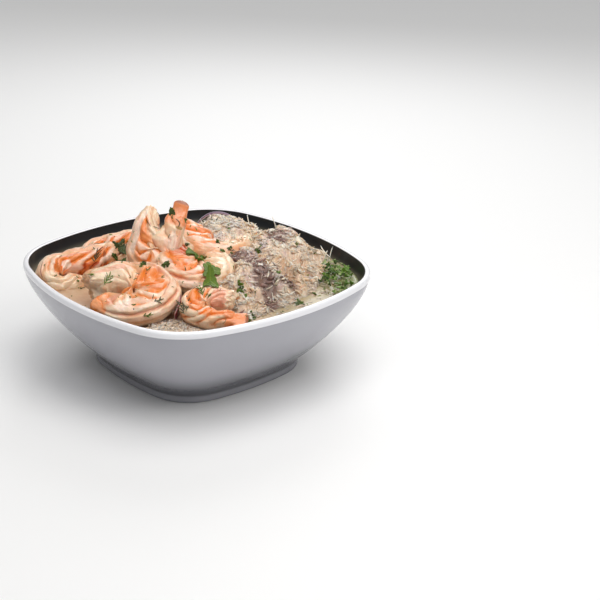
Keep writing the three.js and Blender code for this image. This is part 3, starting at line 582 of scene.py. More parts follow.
def shrimpSkin(s, share, around, facts, seed):
    # an oval carried along the curled line: its belly side reaches in across the curl, and the lips of the
    # cut, the lobes, lumps and grain stand on it
    lineShare, *line = centreLine(s)
    x, y, z, heading = (np.interp(share, lineShare, values) for values in line)
    side = -1 if s["turn"] > 0 else 1
    flare, flat = 1, 1
    if s["shell"]:
        flare = 1 + s["flare"] * smoothStep(share, 0.82, 0.95)
        flat = 1 - s["shellFlatness"] * smoothStep(share, 0.8, 0.96)
    girth, body, fromCut = facts["girth"], facts["body"], facts["fromCut"]
    low, high, lipTo = s["bend"][0], s["fillTo"], s["lipTo"]
    reach = 1 + s["fill"] * window(share, low - 0.1, low + 0.15, high - 0.25, high)
    reach = np.where(np.cos(around) < 0, reach, 1)
    lips = window(fromCut, 0, 0.24, lipTo - 0.06, lipTo + 0.1)
    shelf = window(fromCut, lipTo - 0.04, lipTo + 0.12, 0.75, s["shelfEnd"])
    cut = s["lip"] * lips - s["groove"] * bump(fromCut, 0, s["grooveSpread"]) - s["shelf"] * shelf
    grain = layeredNoise(body / (1, 1, s["grainStretch"]), s["grainPitch"], seed + 7) - 0.5
    lobes = s["lobe"] * facts["lobed"] * (facts["lobe"] - 0.7) * (0.5 + facts["chance"])
    lumps = s["lump"] * (layeredNoise(body, s["lumpPitch"], seed + 4) - 0.5)
    relief = facts["opened"] * cut + lobes + lumps + s["grain"] * grain
    relief = relief * np.minimum(girth * 1.4, 1) * (1 - 0.8 * (flat < 0.7))
    wave = np.cos(share * s["segments"] * 2 * np.pi)
    segment = 1 + wave * (s["segmentSwell"] + s["bellySwell"] * bump(np.abs(around), np.pi, 1.2))
    depth = s["depth"] * girth * flare * reach * segment + relief
    width = s["width"] * girth * flat * segment + relief * np.minimum(flat, 1)
    plump = blend(1, s["bellyPower"], smoothStep(np.abs(around), 1.6, 2.4))
    radial, across = np.cos(around) * depth, np.sign(around) * np.abs(np.sin(around)) ** plump * width
    torn = layeredNoise(body * (1, 1, 0.4), s["tearPitch"], seed + 15) - 0.5
    lean = s["slant"] * radial * (1 - smoothStep(share, 0, 0.35))
    lean = lean + s["fray"] * (1 - smoothStep(share, 0, 0.14)) * torn
    return vectors(x - np.sin(heading) * side * radial - np.cos(heading) * lean,
                   y + np.cos(heading) * side * radial - np.sin(heading) * lean, z + across)


def shrimpTint(s, share, around, facts, points, seed):
    # cream flesh, orange between pale lobes on the belly side, a rose cut with pink edges, then the spots,
    # a few of them painted shade and painted light
    t = shrimpTones
    body, lobe, chance, orange = (facts[key] for key in ("body", "lobe", "chance", "orange"))
    cloud = layeredNoise(body, s["cloudPitch"], seed + 10)
    fine = layeredNoise(body / (1, 1, s["fineStretch"]), s["finePitch"], seed + 13)
    crease = (1 - smoothStep(lobe, 0.35, 0.9)) * facts["lobed"]
    tint = paint(t["flesh"], t["cream"], smoothStep(cloud + 0.3 * (fine - 0.5), 0.35, 0.65))
    warm = orange * smoothStep(0.5 * cloud + 0.6 * chance + 0.3 * fine, 0.35, 0.6)
    tint = paint(tint, t["orange"], 0.85 * warm)
    tint = paint(tint, t["orange"], 0.75 * crease * np.maximum(orange, s["ribs"]))
    # most spots are the shrimp's own marks; some deep spots are painted shade, and the front shrimp's first
    # cream spot is painted light
    for tone, at, degrees, halfLength, halfWidth, strength in s["spots"]:
        away = ((share - at) / halfLength) ** 2 + ((np.degrees(around) - degrees) / halfWidth) ** 2
        edge = smoothStep(1.35 - away + 1.6 * (cloud - 0.5) + 0.9 * (fine - 0.5), 0, 0.75)
        tint = paint(tint, t[tone], strength * edge * (1 - 0.35 * (tone in ("orange", "deep")) * lobe))
    marble = smoothStep(layeredNoise(points / (1, 1, 2), s["marblePitch"], seed + 3), 0.44, 0.56)
    heart = paint(t["flesh"], t["orange"], 0.75 * marble * np.minimum(1.6 * orange, 1))
    tint = paint(tint, heart, 0.9 * smoothStep(facts["inward"] + 0.4 * (fine - 0.5), 0.35, 0.8))
    pale = orange * smoothStep(lobe, 0.6, 1) * smoothStep(1 - chance + 0.4 * (fine - 0.5), 0.3, 0.6)
    tint = paint(tint, t["pale"], 0.6 * pale)
    if s["shell"]:
        shell = blend(t["orange"], t["pink"], 0.3)
        tint = paint(tint, shell, 0.92 * smoothStep(share + 0.02 * cloud, 0.8, 0.84))
        tint = paint(tint, t["brown"], 0.7 * smoothStep(share, 0.965, 0.985))
    for tone, at, spread, strength in cutBands:
        band = strength * bump(facts["fromCut"], at, spread) * facts["opened"]
        tint = paint(tint, t[tone], np.clip(band, 0, 1))
    return tint * (0.92 + 0.14 * fine)[..., None]


def buildShrimps():
    # rows stand closer at both ends, and no shrimp rises above the model's box
    rows, columns = shrimpForm["rows"], shrimpForm["columns"]
    even = np.linspace(0, 1, rows)
    share = blend(even, (1 - np.cos(even * np.pi)) / 2, 0.5)[:, None]
    share, around = np.broadcast_arrays(share, (turns(columns) - np.pi)[None, :])
    for i, (name, shrimp) in enumerate(shrimps.items()):
        seed = 20 * i
        facts = shrimpFacts(shrimp, share, around, seed)
        points = shrimpSkin(shrimp, share, around, facts, seed)
        tint = shrimpTint(shrimp, share, around, facts, points, seed)
        points = placed(points, shrimp["at"], shrimp["tilt"], shrimp["yaw"])
        points[..., 2] -= max(0, points[..., 2].max() + shrimp["below"] - cadBox[1][2] / mm)
        addPiece("shrimp_" + name + "_flesh", withPoles(points), tubeTriangles(rows - 2, columns),
                 withPoles(tint), [shrimpFinish], "shrimp_" + name)


def shrimpClearance(points):
    # how far each point lies outside the nearest shrimp's body, in millimetres
    nearest = np.full(len(points), 1e3)
    for s in shrimps.values():
        share, x, y, z, _ = (values[::12] for values in centreLine(s))
        line = placed(vectors(x, y, z), s["at"], s["tilt"], s["yaw"])
        radius = s["depth"] * blend(1, s["thin"], share ** s["taperPower"])
        away = np.linalg.norm(points[:, None] - line[None], axis=-1) - radius
        nearest = np.minimum(nearest, away.min(1))
    return nearest


# mounds: middle, yaw and size; grid: the lowest corner of the field of heights, its step and its size
heap = {
    "mounds": [
        ((37, -17, 48), -10, (28, 52, 16)), ((13, 35, 48), 0, (22, 21, 18.5)),
        ((36, 22, 49), 0, (25, 18, 11)), ((31, 38, 49), 0, (13, 13, 18)), ((44, 37, 49), 0, (16, 13, 17)),
        ((34, 9, 49), 0, (10, 11, 18)), ((57, 20, 46), 0, (17, 19, 9.5)),
        ((4, -70, 46), 8, (24, 13, 7)), ((-6, 6, 47), 20, (46, 56, 10.5)),
    ],
    "grid": ((-54, -90), 0.75, (190, 218)), "slump": 2.0, "rounds": 30,
    "boxiness": 2, "bed": 45, "clear": 1.2, "rows": 190, "columns": 500, "lump": 2.6, "lumpPitch": 5,
    "crag": 1.0, "cragPitch": 2.0, "fibre": 1.1, "fibrePitch": 0.8, "driftPitch": 16,
    "shore": [(40, -56), (55, -30), (66, -18), (73, 7), (73, 26), (62, 50)],
    "shoreSlope": 0.95, "shoreRise": 20, "sink": 5.2,
    "chunks": 230, "chunkSize": (3.6, 9), "chunkRise": 0.95, "chunkSink": 0.5, "seed": 5,
    "chunkSpread": ((-48, 80), (-84, 60)), "bitSpread": ((-50, 80), (-84, 58)), "bitClearance": 0.4,
    "beige": colour(232, 206, 182), "tan": colour(222, 186, 152), "pinkGrey": colour(220, 190, 180),
    "cream": colour(250, 234, 214), "skin": colour(128, 100, 92), "tuft": (13, 36, 26), "wet": 0.68,
    "tanPitch": 11, "pinkPitch": 8, "bitDroop": (0.1, 0.22), "bitSway": (0, 0.25),
}


def moundTop(x, y):
    # the highest of the mounds, half ellipsoids, over each point of the food's frame; towards the shore
    # the height is cut back to a rise that flattens out exponentially
    top, power = np.full(np.shape(x), -100.0), heap["boxiness"]
    for (ax, ay, az), yaw, (sx, sy, sz) in heap["mounds"]:
        c, s = cosSin(yaw)
        u, v = ((x - ax) * c + (y - ay) * s) / sx, ((y - ay) * c - (x - ax) * s) / sy
        inside = np.maximum(1 - np.abs(u) ** power - np.abs(v) ** power, 0)
        top = np.where(inside > 0, np.maximum(top, az + sz * inside ** (1 / power)), top)
    inland = np.full(np.shape(x), 100.0)
    for (ax, ay), (bx, by) in zip(heap["shore"], heap["shore"][1:]):
        aside = (bx - ax) * (y - ay) - (by - ay) * (x - ax)
        inland = np.minimum(inland, aside / np.hypot(bx - ax, by - ay))
    rise = heap["shoreRise"] * (1 - np.exp(-heap["shoreSlope"] * inland / heap["shoreRise"]))
    return np.where(inland < 50, np.minimum(top, brothShape["level"] + rise), top)


def makeChunks():
    # the lumps that the heap is piled from: the middle, the height of the middle and the radius of each
    draws, tries = np.random.default_rng(heap["seed"]), heap["chunks"] * 3
    x, y = (draws.uniform(*span, tries) for span in heap["chunkSpread"])
    radius = blend(*heap["chunkSize"], draws.random(tries) ** 1.6)
    z = moundTop(x, y)
    above = z - brothShape["level"]
    radius = radius * blend(0.4, 1, smoothStep(above, 2, 10))
    keep = (above > 2) & (shrimpClearance(vectors(x, y, z)) > 0.35 * radius) & ((y > -56) | (x > 26))
    return vectors(x, y, z - heap["chunkSink"] * radius, radius)[keep][:heap["chunks"]]


def makeHeapField():
    # heights on a grid: half balls for the lumps, over the mounds sunk a little, roughened by noise and
    # worn down until no side is steeper than the slump
    h = heap
    (lowX, lowY), step, (countX, countY) = h["grid"]
    x, y = np.meshgrid(lowX + step * np.arange(countX), lowY + step * np.arange(countY), indexing="ij")
    top = moundTop(x, y)
    top = top - h["sink"] * smoothStep(top - brothShape["level"], 0, 9)
    for cx, cy, cz, radius in makeChunks():
        inside = np.maximum(1 - ((x - cx) ** 2 + (y - cy) ** 2) / radius ** 2, 0)
        top = np.where(inside > 0, np.maximum(top, cz + h["chunkRise"] * radius * inside ** 0.5), top)
    rough = h["lump"] * (layeredNoise(vectors(x, y, 0), h["lumpPitch"], 11) - 0.5)
    top = np.maximum(top + rough * smoothStep(top, h["bed"], h["bed"] + 5), h["bed"])
    for _ in range(h["rounds"]):
        for way in ((0, 1), (0, -1), (1, 0), (-1, 0), (1, 1), (1, -1), (-1, 1), (-1, -1)):
            top = np.minimum(top, np.roll(top, way, (0, 1)) + h["slump"] * step * np.hypot(*way))
    return top


heapField = makeHeapField()


def heapTop(x, y):
    # the field of heights, blended between the four corners around each point
    (lowX, lowY), step, (countX, countY) = heap["grid"]
    u, v = np.clip((x - lowX) / step, 0, countX - 1.001), np.clip((y - lowY) / step, 0, countY - 1.001)
    i, j = u.astype(int), v.astype(int)
    u, v, top = u - i, v - j, heapField
    return ((top[i, j] * (1 - u) + top[i + 1, j] * u) * (1 - v)
            + (top[i, j + 1] * (1 - u) + top[i + 1, j + 1] * u) * v)


def buildHeapCore():
    # the field of heights with crags and fibres of noise, the fibres drawn out along a wandering direction
    h = heap

    def height(x, y, fromWall):
        food = turnAboutZ(vectors(x, y, 0), -turnOfFood)
        u, v = food[..., 0], food[..., 1]
        top = np.maximum(heapTop(u, v), h["bed"])
        drift = 3 * np.pi * noise(food, h["driftPitch"], 27)
        along, aside = u * np.cos(drift) + v * np.sin(drift), v * np.cos(drift) - u * np.sin(drift)
        fibres = noise(vectors(along / 4, aside, 0), h["fibrePitch"], 19) - 0.5
        crags = np.abs(2 * noise(food, h["cragPitch"], 15) - 1) - 0.5
        rough = h["crag"] * crags + h["fibre"] * fibres
        return top - 0.4 + smoothStep(top, h["bed"], h["bed"] + 4) * rough

    points, triangles = bowlFill(height, 28, h["clear"], h["rows"], h["columns"])
    food = turnAboutZ(points, -turnOfFood)
    tint = fleshTint(food, np.random.default_rng(h["seed"]), 0.03)
    tint = paint(tint, h["skin"], 0.8 * skinShare(food))
    tint = tint * (0.86 + 0.28 * layeredNoise(points, 2.4, 17))[:, None]
    addPiece("heap_core", points, triangles, tint, [seafoodFinish], "heap", inFood=False)


def slimBits(rows, columns, size, draws, droop, sway, ragged=0.25):
    # a slim body along X for each size: rows between two poles, the girth the root of 1 less the power 2.4
    # of the distance from the middle, made uneven by draws; the ends drop and swing aside with the square
    # of that distance, by shares of the half length drawn with the means and spreads droop and sway
    count = len(size)
    along = np.linspace(-1, 1, rows + 2)[1:-1][None, :, None]
    around = turns(columns)[None, None, :]
    girth = np.sqrt(1 - np.abs(along) ** 2.4) * (1 + ragged * (2 * draws.random((count, rows, 1)) - 1))
    girth = girth * (1 + 0.6 * ragged * (2 * draws.random((count, rows, columns)) - 1))
    length, width, thickness = (size[:, i][:, None, None] for i in range(3))
    x = length * (along + 0.08 * (draws.random((count, rows, columns)) - 0.5))
    local = vectors(x, width * girth * np.cos(around), thickness * girth * np.sin(around))
    ends = np.zeros((count, 2, 3))
    ends[:, 0, 0], ends[:, 1, 0] = -size[:, 0], size[:, 0]
    local = np.concatenate([local.reshape(count, rows * columns, 3), ends], 1)
    share = local[..., 0] / size[:, :1]
    for axis, drawn in ((2, -draws.normal(*droop, count)), (1, draws.normal(*sway, count))):
        local[..., axis] += drawn[:, None] * size[:, :1] * share ** 2
    return local


def unit(array):
    # vectors of length 1
    return array / np.linalg.norm(array, axis=-1, keepdims=True)


def addBits(name, shape, local, at, normal, heading, tint, material, node):
    # each bit stands at its point with its Z along normal and its X as near as can be to heading
    count, each = local.shape[:2]
    normal = unit(normal)
    aside = unit(np.cross(normal, heading))
    along = np.cross(aside, normal)
    points = (at[:, None] + local[..., :1] * along[:, None] + local[..., 1:2] * aside[:, None]
              + local[..., 2:] * normal[:, None])
    triangles = tubeTriangles(*shape)[None] + (np.arange(count) * each)[:, None, None]
    addPiece(name, points.reshape(-1, 3), triangles.reshape(-1, 3),
             np.broadcast_to(tint, points.shape).reshape(-1, 3), [material], node)


def insideBowl(points, clear):
    # which points lie further than clear inside the inner wall
    x, y, _ = np.moveaxis(turnAboutZ(points, turnOfFood), -1, 0)
    return np.hypot(x, y) < bowlRadius(np.arctan2(y, x), innerHalfWidth(points[:, 2]) - clear)


def heapSpots(count, draws):
    # random places on the heap, each with the slope's normal, and a few afloat on the broth beside it
    level, reach, tries = brothShape["level"], 0.8, count * 6
    x, y = (draws.uniform(*span, tries) for span in heap["bitSpread"])
    spots = vectors(x, y, heapTop(x, y))
    slopes = heapTop(x - reach, y) - heapTop(x + reach, y), heapTop(x, y - reach) - heapTop(x, y + reach)
    normal = vectors(*(np.clip(slope, -4, 4) for slope in slopes), 2 * reach)
    common = blend(0.03, 0.14, smoothStep(x, 40, 56) * smoothStep(-y, -12, 0))
    afloat = (spots[:, 2] < level) & (draws.random(tries) < common)
    spots[afloat, 2], normal[afloat] = level - 0.1, (0, 0, 1)
    keep = ((spots[:, 2] > level + 0.5) | afloat) & insideBowl(spots, 2.5)
    spots, normal = spots[keep], unit(normal[keep])
    keep = shrimpClearance(spots) > heap["bitClearance"]
    return spots[keep][:count], normal[keep][:count]


def fleshTint(spots, draws, spread=0.1):
    # drifts of beige, tan and pink grey, with some cream flakes, and creamier on the tuft
    h = heap
    tint = paint(h["beige"], h["tan"], smoothStep(layeredNoise(spots, h["tanPitch"], 21), 0.5, 0.66))
    tint = paint(tint, h["pinkGrey"], smoothStep(layeredNoise(spots, h["pinkPitch"], 24), 0.52, 0.66))
    tint = paint(tint, h["cream"], 0.8 * (draws.random(len(spots)) > 0.8))
    x, y, reach = h["tuft"]
    tuft = smoothStep(reach - np.hypot(spots[:, 0] - x, spots[:, 1] - y), 0, 6)
    tint = paint(tint, h["cream"], 0.35 * tuft)
    tint = tint * blend(h["wet"], 1, smoothStep(spots[:, 2] - brothShape["level"], 0, 2))[:, None]
    return tint * blend(1 - spread, 1 + spread * 0.6, draws.random(len(spots)))[:, None]


darkSkin = {
    "lines": [[(21, -4), (28, -14), (34, -21), (39, -30), (41, -40)], [(41, 31), (42, 16)],
              [(28, -57), (37, -55), (45, -52)], [(47, -20), (49, -24)]],
    "reach": 6.4,
}


def skinShare(spots):
    # 1 along the strips of dark skin and 0 away from them
    x, y, away = spots[:, 0], spots[:, 1], np.full(len(spots), 1e3)
    for line in darkSkin["lines"]:
        for (ax, ay), (bx, by) in zip(line, line[1:]):
            dx, dy = bx - ax, by - ay
            t = np.clip(((x - ax) * dx + (y - ay) * dy) / (dx ** 2 + dy ** 2), 0, 1)
            away = np.minimum(away, np.hypot(x - ax - t * dx, y - ay - t * dy))
    wander = 3 * (layeredNoise(spots, 4, 31) - 0.5)
    return smoothStep(away + wander, darkSkin["reach"], darkSkin["reach"] * 0.5)


# shape: rows and columns; slim: width as a share of the length; flat: thickness as a share of the width
bitKinds = {
    "flakes": {
        "count": 760, "shape": (7, 9), "length": (1.4, 3.3), "slim": (0.26, 0.52), "flat": (0.25, 0.5),
        "ragged": 0.4, "tip": 0.2, "lift": -0.2, "light": 0.0, "seed": 41},
    "shreds": {
        "count": 3300, "shape": (6, 5), "length": (1.0, 3.8), "slim": (0.1, 0.23), "flat": (0.7, 1.0),
        "ragged": 0.4, "tip": 0.35, "lift": 0.3, "light": 0.15, "seed": 42},
    "strands": {
        "count": 2400, "shape": (6, 4), "length": (1.0, 3.4), "slim": (0.04, 0.075), "flat": (1.0, 1.0),
        "ragged": 0.2, "tip": 0.5, "lift": 0.6, "light": 0.3, "seed": 43},
}


def buildHeapBits():
    # bits lie on the heap's slope along the same wandering direction as its fibres, each tipped a little
    for name, kind in bitKinds.items():
        draws = np.random.default_rng(kind["seed"])
        spots, normal = heapSpots(kind["count"], draws)
        count = len(spots)
        length = blend(*kind["length"], draws.random(count) ** 1.5)
        width = length * blend(*kind["slim"], draws.random(count))
        size = vectors(length, width, width * blend(*kind["flat"], draws.random(count)))
        local = slimBits(*kind["shape"], size, draws, heap["bitDroop"], heap["bitSway"], kind["ragged"])
        drift = 3 * np.pi * noise(spots, heap["driftPitch"], 27) + draws.normal(0, 0.42, count)
        tip = draws.normal(0, kind["tip"] * 0.6, (count, 3)) * (1, 1, 0)
        rise = np.abs(draws.normal(0, kind["tip"] * 0.45, count))[:, None]
        at = spots + normal * (kind["lift"] * draws.random(count))[:, None]
        tint = paint(fleshTint(spots, draws), heap["cream"], kind["light"])
        dark = skinShare(spots) * (draws.random(count) > 0.25)
        tint = paint(tint, heap["skin"] * blend(0.75, 1.5, draws.random(count))[:, None], dark)
        tint = tint[:, None] * blend(0.93, 1.05, draws.random(local.shape[:2]))[..., None]
        addBits("heap_" + name, kind["shape"], local, at, normal + tip,
                vectors(np.cos(drift), np.sin(drift), 0) + rise * normal, tint, seafoodFinish, "heap")


straySeed = 91
strayShape = (9, 8)  # rows and columns
# strands that stand clear of the heap: foot, tip and half width
strays = [
    ((71.5, 27, 50.5), (65.3, 30.7, 56.6), 0.45), ((71, 27.5, 50.5), (72.6, 31.5, 56.4), 0.4),
    ((68, 25, 51), (69.5, 27, 55.5), 0.7), ((41, 42, 62), (38.5, 44, 68.5), 0.4),
    ((26, 44, 62), (24, 47, 68), 0.4),
]


def buildStrays():
    # each lies half way from foot to tip and points along that way
    foot, tip, width = (np.array(values, float) for values in zip(*strays))
    way = tip - foot
    size = vectors(np.linalg.norm(way, axis=1) / 2, width, 0.6 * width)
    local = slimBits(*strayShape, size, np.random.default_rng(straySeed), (0, 0.12), (0, 0.12))
    addBits("heap_strays", strayShape, local, (foot + tip) / 2, np.cross(way, (0.3, 1, 0)), way,
            heap["cream"], seafoodFinish, "heap")


leafForm = {
    "rings": 14, "spokes": 144, "thickness": 0.35, "clear": 0.8, "lift": 12, "raise": 0,
    "bright": colour(84, 110, 4), "dark": colour(54, 68, 12), "vein": colour(128, 150, 40),
}
leaves = {
    "middle": {
        "at": (10, -36.5), "tilt": 26, "yaw": 6, "size": (5.6, 6.4), "lobes": 3, "depth": 0.42,
        "fresh": 1.0},
    "middle_low": {
        "at": (11, -51), "tilt": 30, "yaw": -160, "size": (4.4, 5.6), "lobes": 3, "depth": 0.4,
        "fresh": 1.0},
    "back": {
        "at": (1.5, -20), "tilt": 20, "yaw": 30, "size": (6, 6.5), "lobes": 4, "depth": 0.3, "fresh": 0.8,
        "raise": 0.6},
    "left": {
        "at": (-39.5, -20), "tilt": 30, "yaw": -20, "size": (6.4, 4.6), "lobes": 5, "depth": 0.5,
        "fresh": 0.25, "raise": 2.8},
    "behind": {
        "at": (-42, 13), "tilt": 28, "yaw": 20, "size": (5, 4.4), "lobes": 5, "depth": 0.4, "fresh": 0.15},
    "tail": {
        "at": (-11.5, -7), "tilt": 60, "yaw": -7, "size": (2, 3.2), "lobes": 3, "depth": 0.2, "fresh": 0.0,
        "raise": -4.4},
}


def nodePoints(node):
    # the corners of a CAD node, in millimetres and in the food's own frame
    mesh = frame["nodes"][node].data
    flat = np.zeros(len(mesh.vertices) * 3, np.float32)
    mesh.vertices.foreach_get("co", flat)
    return turnAboutZ(flat.reshape(-1, 3).astype(float) / mm, -turnOfFood)


def unplaced(points, at, tilt, yaw):
    # placed, undone
    x, y, z = np.moveaxis(turnAboutZ(points - at, -np.radians(yaw)), -1, 0)
    c, s = cosSin(tilt)
    return vectors(x, y * c + z * s, z * c - y * s)


def quadratic(x, y):
    # the six terms of a surface of the second degree
    return vectors(1, x, y, x * x, x * y, y * y)


def buildLeaves(ground):
    # rings and spokes whose reach is the size, less a cosine for the lobes and a sine's power for the teeth
    # they lie on the surface of the second degree that fits the CAD leaf best, clear of what is under it
    for seed, (name, own) in enumerate(leaves.items()):
        leaf = leafForm | own
        corners = nodePoints("leaf_" + name)
        origin = np.array([*leaf["at"], corners[:, 2].mean()])
        inLeaf = unplaced(corners, origin, leaf["tilt"], leaf["yaw"])
        bent, *_ = np.linalg.lstsq(quadratic(inLeaf[:, 0], inLeaf[:, 1]), inLeaf[:, 2], rcond=None)
        angle, lobes = turns(leaf["spokes"]), leaf["lobes"]
        lobed = 1 - leaf["depth"] * (0.5 - 0.5 * np.cos(lobes * angle))
        teeth = 0.78 + 0.22 * np.abs(np.sin(lobes * 1.5 * angle + seed)) ** 0.6
        share = np.linspace(0, 1, leaf["rings"])[:, None]
        x, y = (share * size * lobed * (1 - (1 - teeth) * share ** 3) * f(angle)
                for size, f in zip(leaf["size"], (np.cos, np.sin)))
        vein = bump(np.abs(np.mod(lobes * angle + np.pi, 2 * np.pi) - np.pi) / lobes * share * 5, 0, 0.3)
        flat = vectors(x, y, seed * 9)
        z = quadratic(x, y) @ bent - 0.16 * vein + 0.35 * (noise(flat, 2.4, 3) - 0.5) + 0.25 * share ** 3
        sheet = placed(vectors(x, y, z), origin, leaf["tilt"], leaf["yaw"])
        under = ground(sheet[..., 0].ravel(), sheet[..., 1].ravel())[0][:, 2].reshape(x.shape)
        sheet[..., 2] += leaf["raise"] + np.clip(under + leaf["clear"] - sheet[..., 2], 0, leaf["lift"])
        half = leaf["thickness"] / 2
        points = np.concatenate([sheet + (0, 0, half), (sheet - (0, 0, half))[::-1]])
        tone = smoothStep(leaf["fresh"] + 0.7 * (layeredNoise(flat, 2.5, 6) - 0.5), 0.1, 0.9)
        tint = paint(paint(leaf["dark"], leaf["bright"], tone), leaf["vein"], 0.35 * vein * (0.3 + tone))
        triangles = tubeTriangles(2 * leaf["rings"] - 2, leaf["spokes"])
        addPiece("leaf_" + name + "_blade", withPoles(points), triangles,
                 withPoles(np.concatenate([tint, tint[::-1]])), [herbFinish], "leaf_" + name)


onionShape = (70, 28)  # rows and columns
onions = {
    "back": {
        "at": (8, 45, 55), "tilt": 80, "yaw": 4, "radius": 13.5, "sweep": 130, "from": 30,
        "height": 4.5, "thickness": 1.3, "skin": colour(104, 56, 92), "flesh": colour(196, 176, 178)},
    "front": {
        "at": (-28, -57, 55.5), "tilt": 18, "yaw": 0, "radius": 24.5, "sweep": 48, "from": -22,
        "height": 7, "thickness": 1.2, "skin": colour(120, 38, 48), "flesh": colour(206, 160, 156)},
}


def buildOnions():
    # a squared circle carried round the ring's middle: its size is a sine's root over the sweep with round
    # ends, it is ribbed by a fine sine, and the skin is on its outer face
    rows, columns = onionShape
    share, around = np.linspace(0, 1, rows)[:, None], turns(columns)[None, :]
    slim = 0.35 + 0.65 * np.sin(np.pi * np.clip(share, 0.02, 0.98)) ** 0.5
    slim = slim * roundEnd(share / 0.03) * roundEnd((1 - share) / 0.03)
    square = (np.abs(np.cos(around)) ** 4 + np.abs(np.sin(around)) ** 4) ** -0.25
    outer, upright = np.cos(around) * square, np.sin(around) * square
    for name, onion in onions.items():
        angle = np.radians(onion["from"] + onion["sweep"] * share)
        flat = vectors(share * onion["radius"] * 2, outer * 2, upright * 3)
        ribs = 0.08 * np.sin(upright * 9) + 0.3 * (noise(flat, 3, 5) - 0.5)
        radius = onion["radius"] + slim * (onion["thickness"] / 2 * outer + ribs * 0.4)
        z = slim * onion["height"] / 2 * upright
        grid = vectors(radius * np.cos(angle), radius * np.sin(angle), z)
        onSkin = smoothStep(outer + 0.2 * (noise(flat, 2, 7) - 0.5), -0.2, 0.5)
        tint = paint(onion["flesh"], onion["skin"], onSkin)
        tint = tint * (0.85 + 0.3 * noise(flat * (0.3, 1, 3), 1.2, 9))[..., None]
        points = withPoles(placed(grid, onion["at"], onion["tilt"], onion["yaw"]))
        addPiece("onion_" + name + "_slice", points, tubeTriangles(rows - 2, columns), withPoles(tint),
                 [onionFinish], "onion_" + name)


clump = {
    "at": (74, 3, 48.8), "size": (9.5, 27, 3.4), "count": 140, "length": (0.9, 2.4), "paleShare": 0.14,
    "rings": 3, "spokes": 12, "seed": 51,
    "bright": colour(104, 140, 40), "dark": colour(46, 74, 22), "pale": colour(170, 176, 120),
}


def leaflets(sizes, draws, rings, spokes):
    # small blades of rings and spokes: the reach is a cosine of three lobes with uneven teeth, the height
    # is a cup of the second degree, and two faces join at the edge
    count, thick = len(sizes), 0.09
    angle, share = turns(spokes)[None, None, :], np.linspace(0, 1, rings + 1)[None, 1:, None]
    outline = 0.72 + 0.28 * np.cos(3 * angle + 6.28 * draws.random((count, 1, 1)))
    outline = outline * (1 + 0.25 * (draws.random((count, 1, spokes)) - 0.5))
    x, y = share * outline * np.cos(angle), share * outline * np.sin(angle) * 0.75
    cup = draws.normal(0, 0.35, (count, 1, 1))
    z = cup * x * x + draws.normal(0, 0.35, (count, 1, 1)) * y * y + 0.12 * (draws.random(x.shape) - 0.5)
    lower = vectors(x * 0.98, y * 0.98, z - thick)[:, ::-1]
    grid = np.concatenate([vectors(x, y, z + thick), lower], 1).reshape(count, -1, 3)
    poles = np.broadcast_to([(0, 0, thick), (0, 0, -thick)], (count, 2, 3))
    return np.concatenate([grid, poles], 1) * sizes[:, None, None]


def buildClump():
    # leaflets strewn over an oval, mostly just below a dome: the root of 1 less 0.9 of the reach's square
    c = clump
    draws, count = np.random.default_rng(c["seed"]), c["count"]
    angle, reach = draws.random(count) * 2 * np.pi, draws.random(count) ** 0.6
    x, y = c["size"][0] * reach * np.cos(angle), c["size"][1] * reach * np.sin(angle)
    z = c["size"][2] * np.sqrt(1 - 0.9 * reach ** 2) * draws.random(count) ** 0.4
    spots = vectors(x, y, z) + c["at"]
    spots = spots[insideBowl(spots, 2)]
    count = len(spots)
    sizes = blend(*c["length"], draws.random(count))
    normal = draws.normal(0, 0.75, (count, 3)) + (0, 0, 1)
    local, heading = leaflets(sizes, draws, c["rings"], c["spokes"]), draws.normal(0, 1, (count, 3))
    tint = paint(c["dark"], c["bright"], draws.random(count))
    tint = paint(tint, c["pale"], 0.7 * (draws.random(count) > 1 - c["paleShare"]))
    addBits("herb_clump_leaves", (2 * c["rings"], c["spokes"]), local, spots, normal, heading,
            tint[:, None], herbFinish, "herb_clump")


# small garnish set on whatever lies under it: counts are tries over the whole of the food
speckSpread = ((-78, 82), (-84, 66))
garnishShape = (5, 6)  # rows and columns
specks = {
    "flecks": {
        "count": 460, "length": (0.4, 1.4), "slim": (0.16, 0.34), "lift": 0.05, "seed": 61,
        "tones": (colour(66, 86, 14), colour(118, 134, 34))},
    "threads": {
        "count": 130, "length": (1.4, 2.8), "slim": (0.06, 0.1), "lift": 0.15, "seed": 62,
        "tones": (colour(44, 58, 20), colour(84, 86, 40))},
    "pepper": {
        "count": 90, "length": (0.22, 0.42), "slim": (0.7, 1.0), "lift": 0.1, "seed": 63,
        "tones": (colour(34, 26, 22), colour(78, 60, 44))},
}
# sprigs of dill: place, heading of the tip in degrees, length, number of needles and tone
sprigs = [
    (-40.3, -51, 95, 9, 6, "dill"), (-48, -47.8, 172, 4, 1, "dill"), (-52.3, -8.8, 75, 9, 8, "dark"),
    (7.4, -58.4, 115, 7, 5, "dill"), (-0.4, -68, 95, 12, 10, "dark"), (-17.9, -72.9, 30, 5, 3, "dill"),
    (-13.3, -67, 40, 6, 3, "dark"), (7.9, 31, 60, 5, 4, "dark"), (15.3, 26.3, 120, 4, 3, "dill"),
    (32.3, 2.7, 100, 5, 4, "dill"), (43.2, -24.1, 60, 4, 4, "dill"), (56, -34, 80, 6, 5, "dark"),
    (68, 30, 80, 6, 5, "dill"), (-9, -71, 12, 8, 0, "dark"), (-11, -69.5, -18, 7, 0, "dark"),
    (-20.4, -44, 60, 4, 1, "dill"), (-58, -22, 40, 3, 1, "dark"), (52.8, 25.8, 100, 4, 3, "dill"),
]
sprigForm = {
    "width": 0.26, "thickness": 0.2, "lift": 0.45, "spread": (0.35, 0.8), "reach": (0.2, 0.32),
    "shape": (7, 6), "seed": 71,
    "dill": colour(84, 110, 26), "dark": colour(46, 58, 22),
}
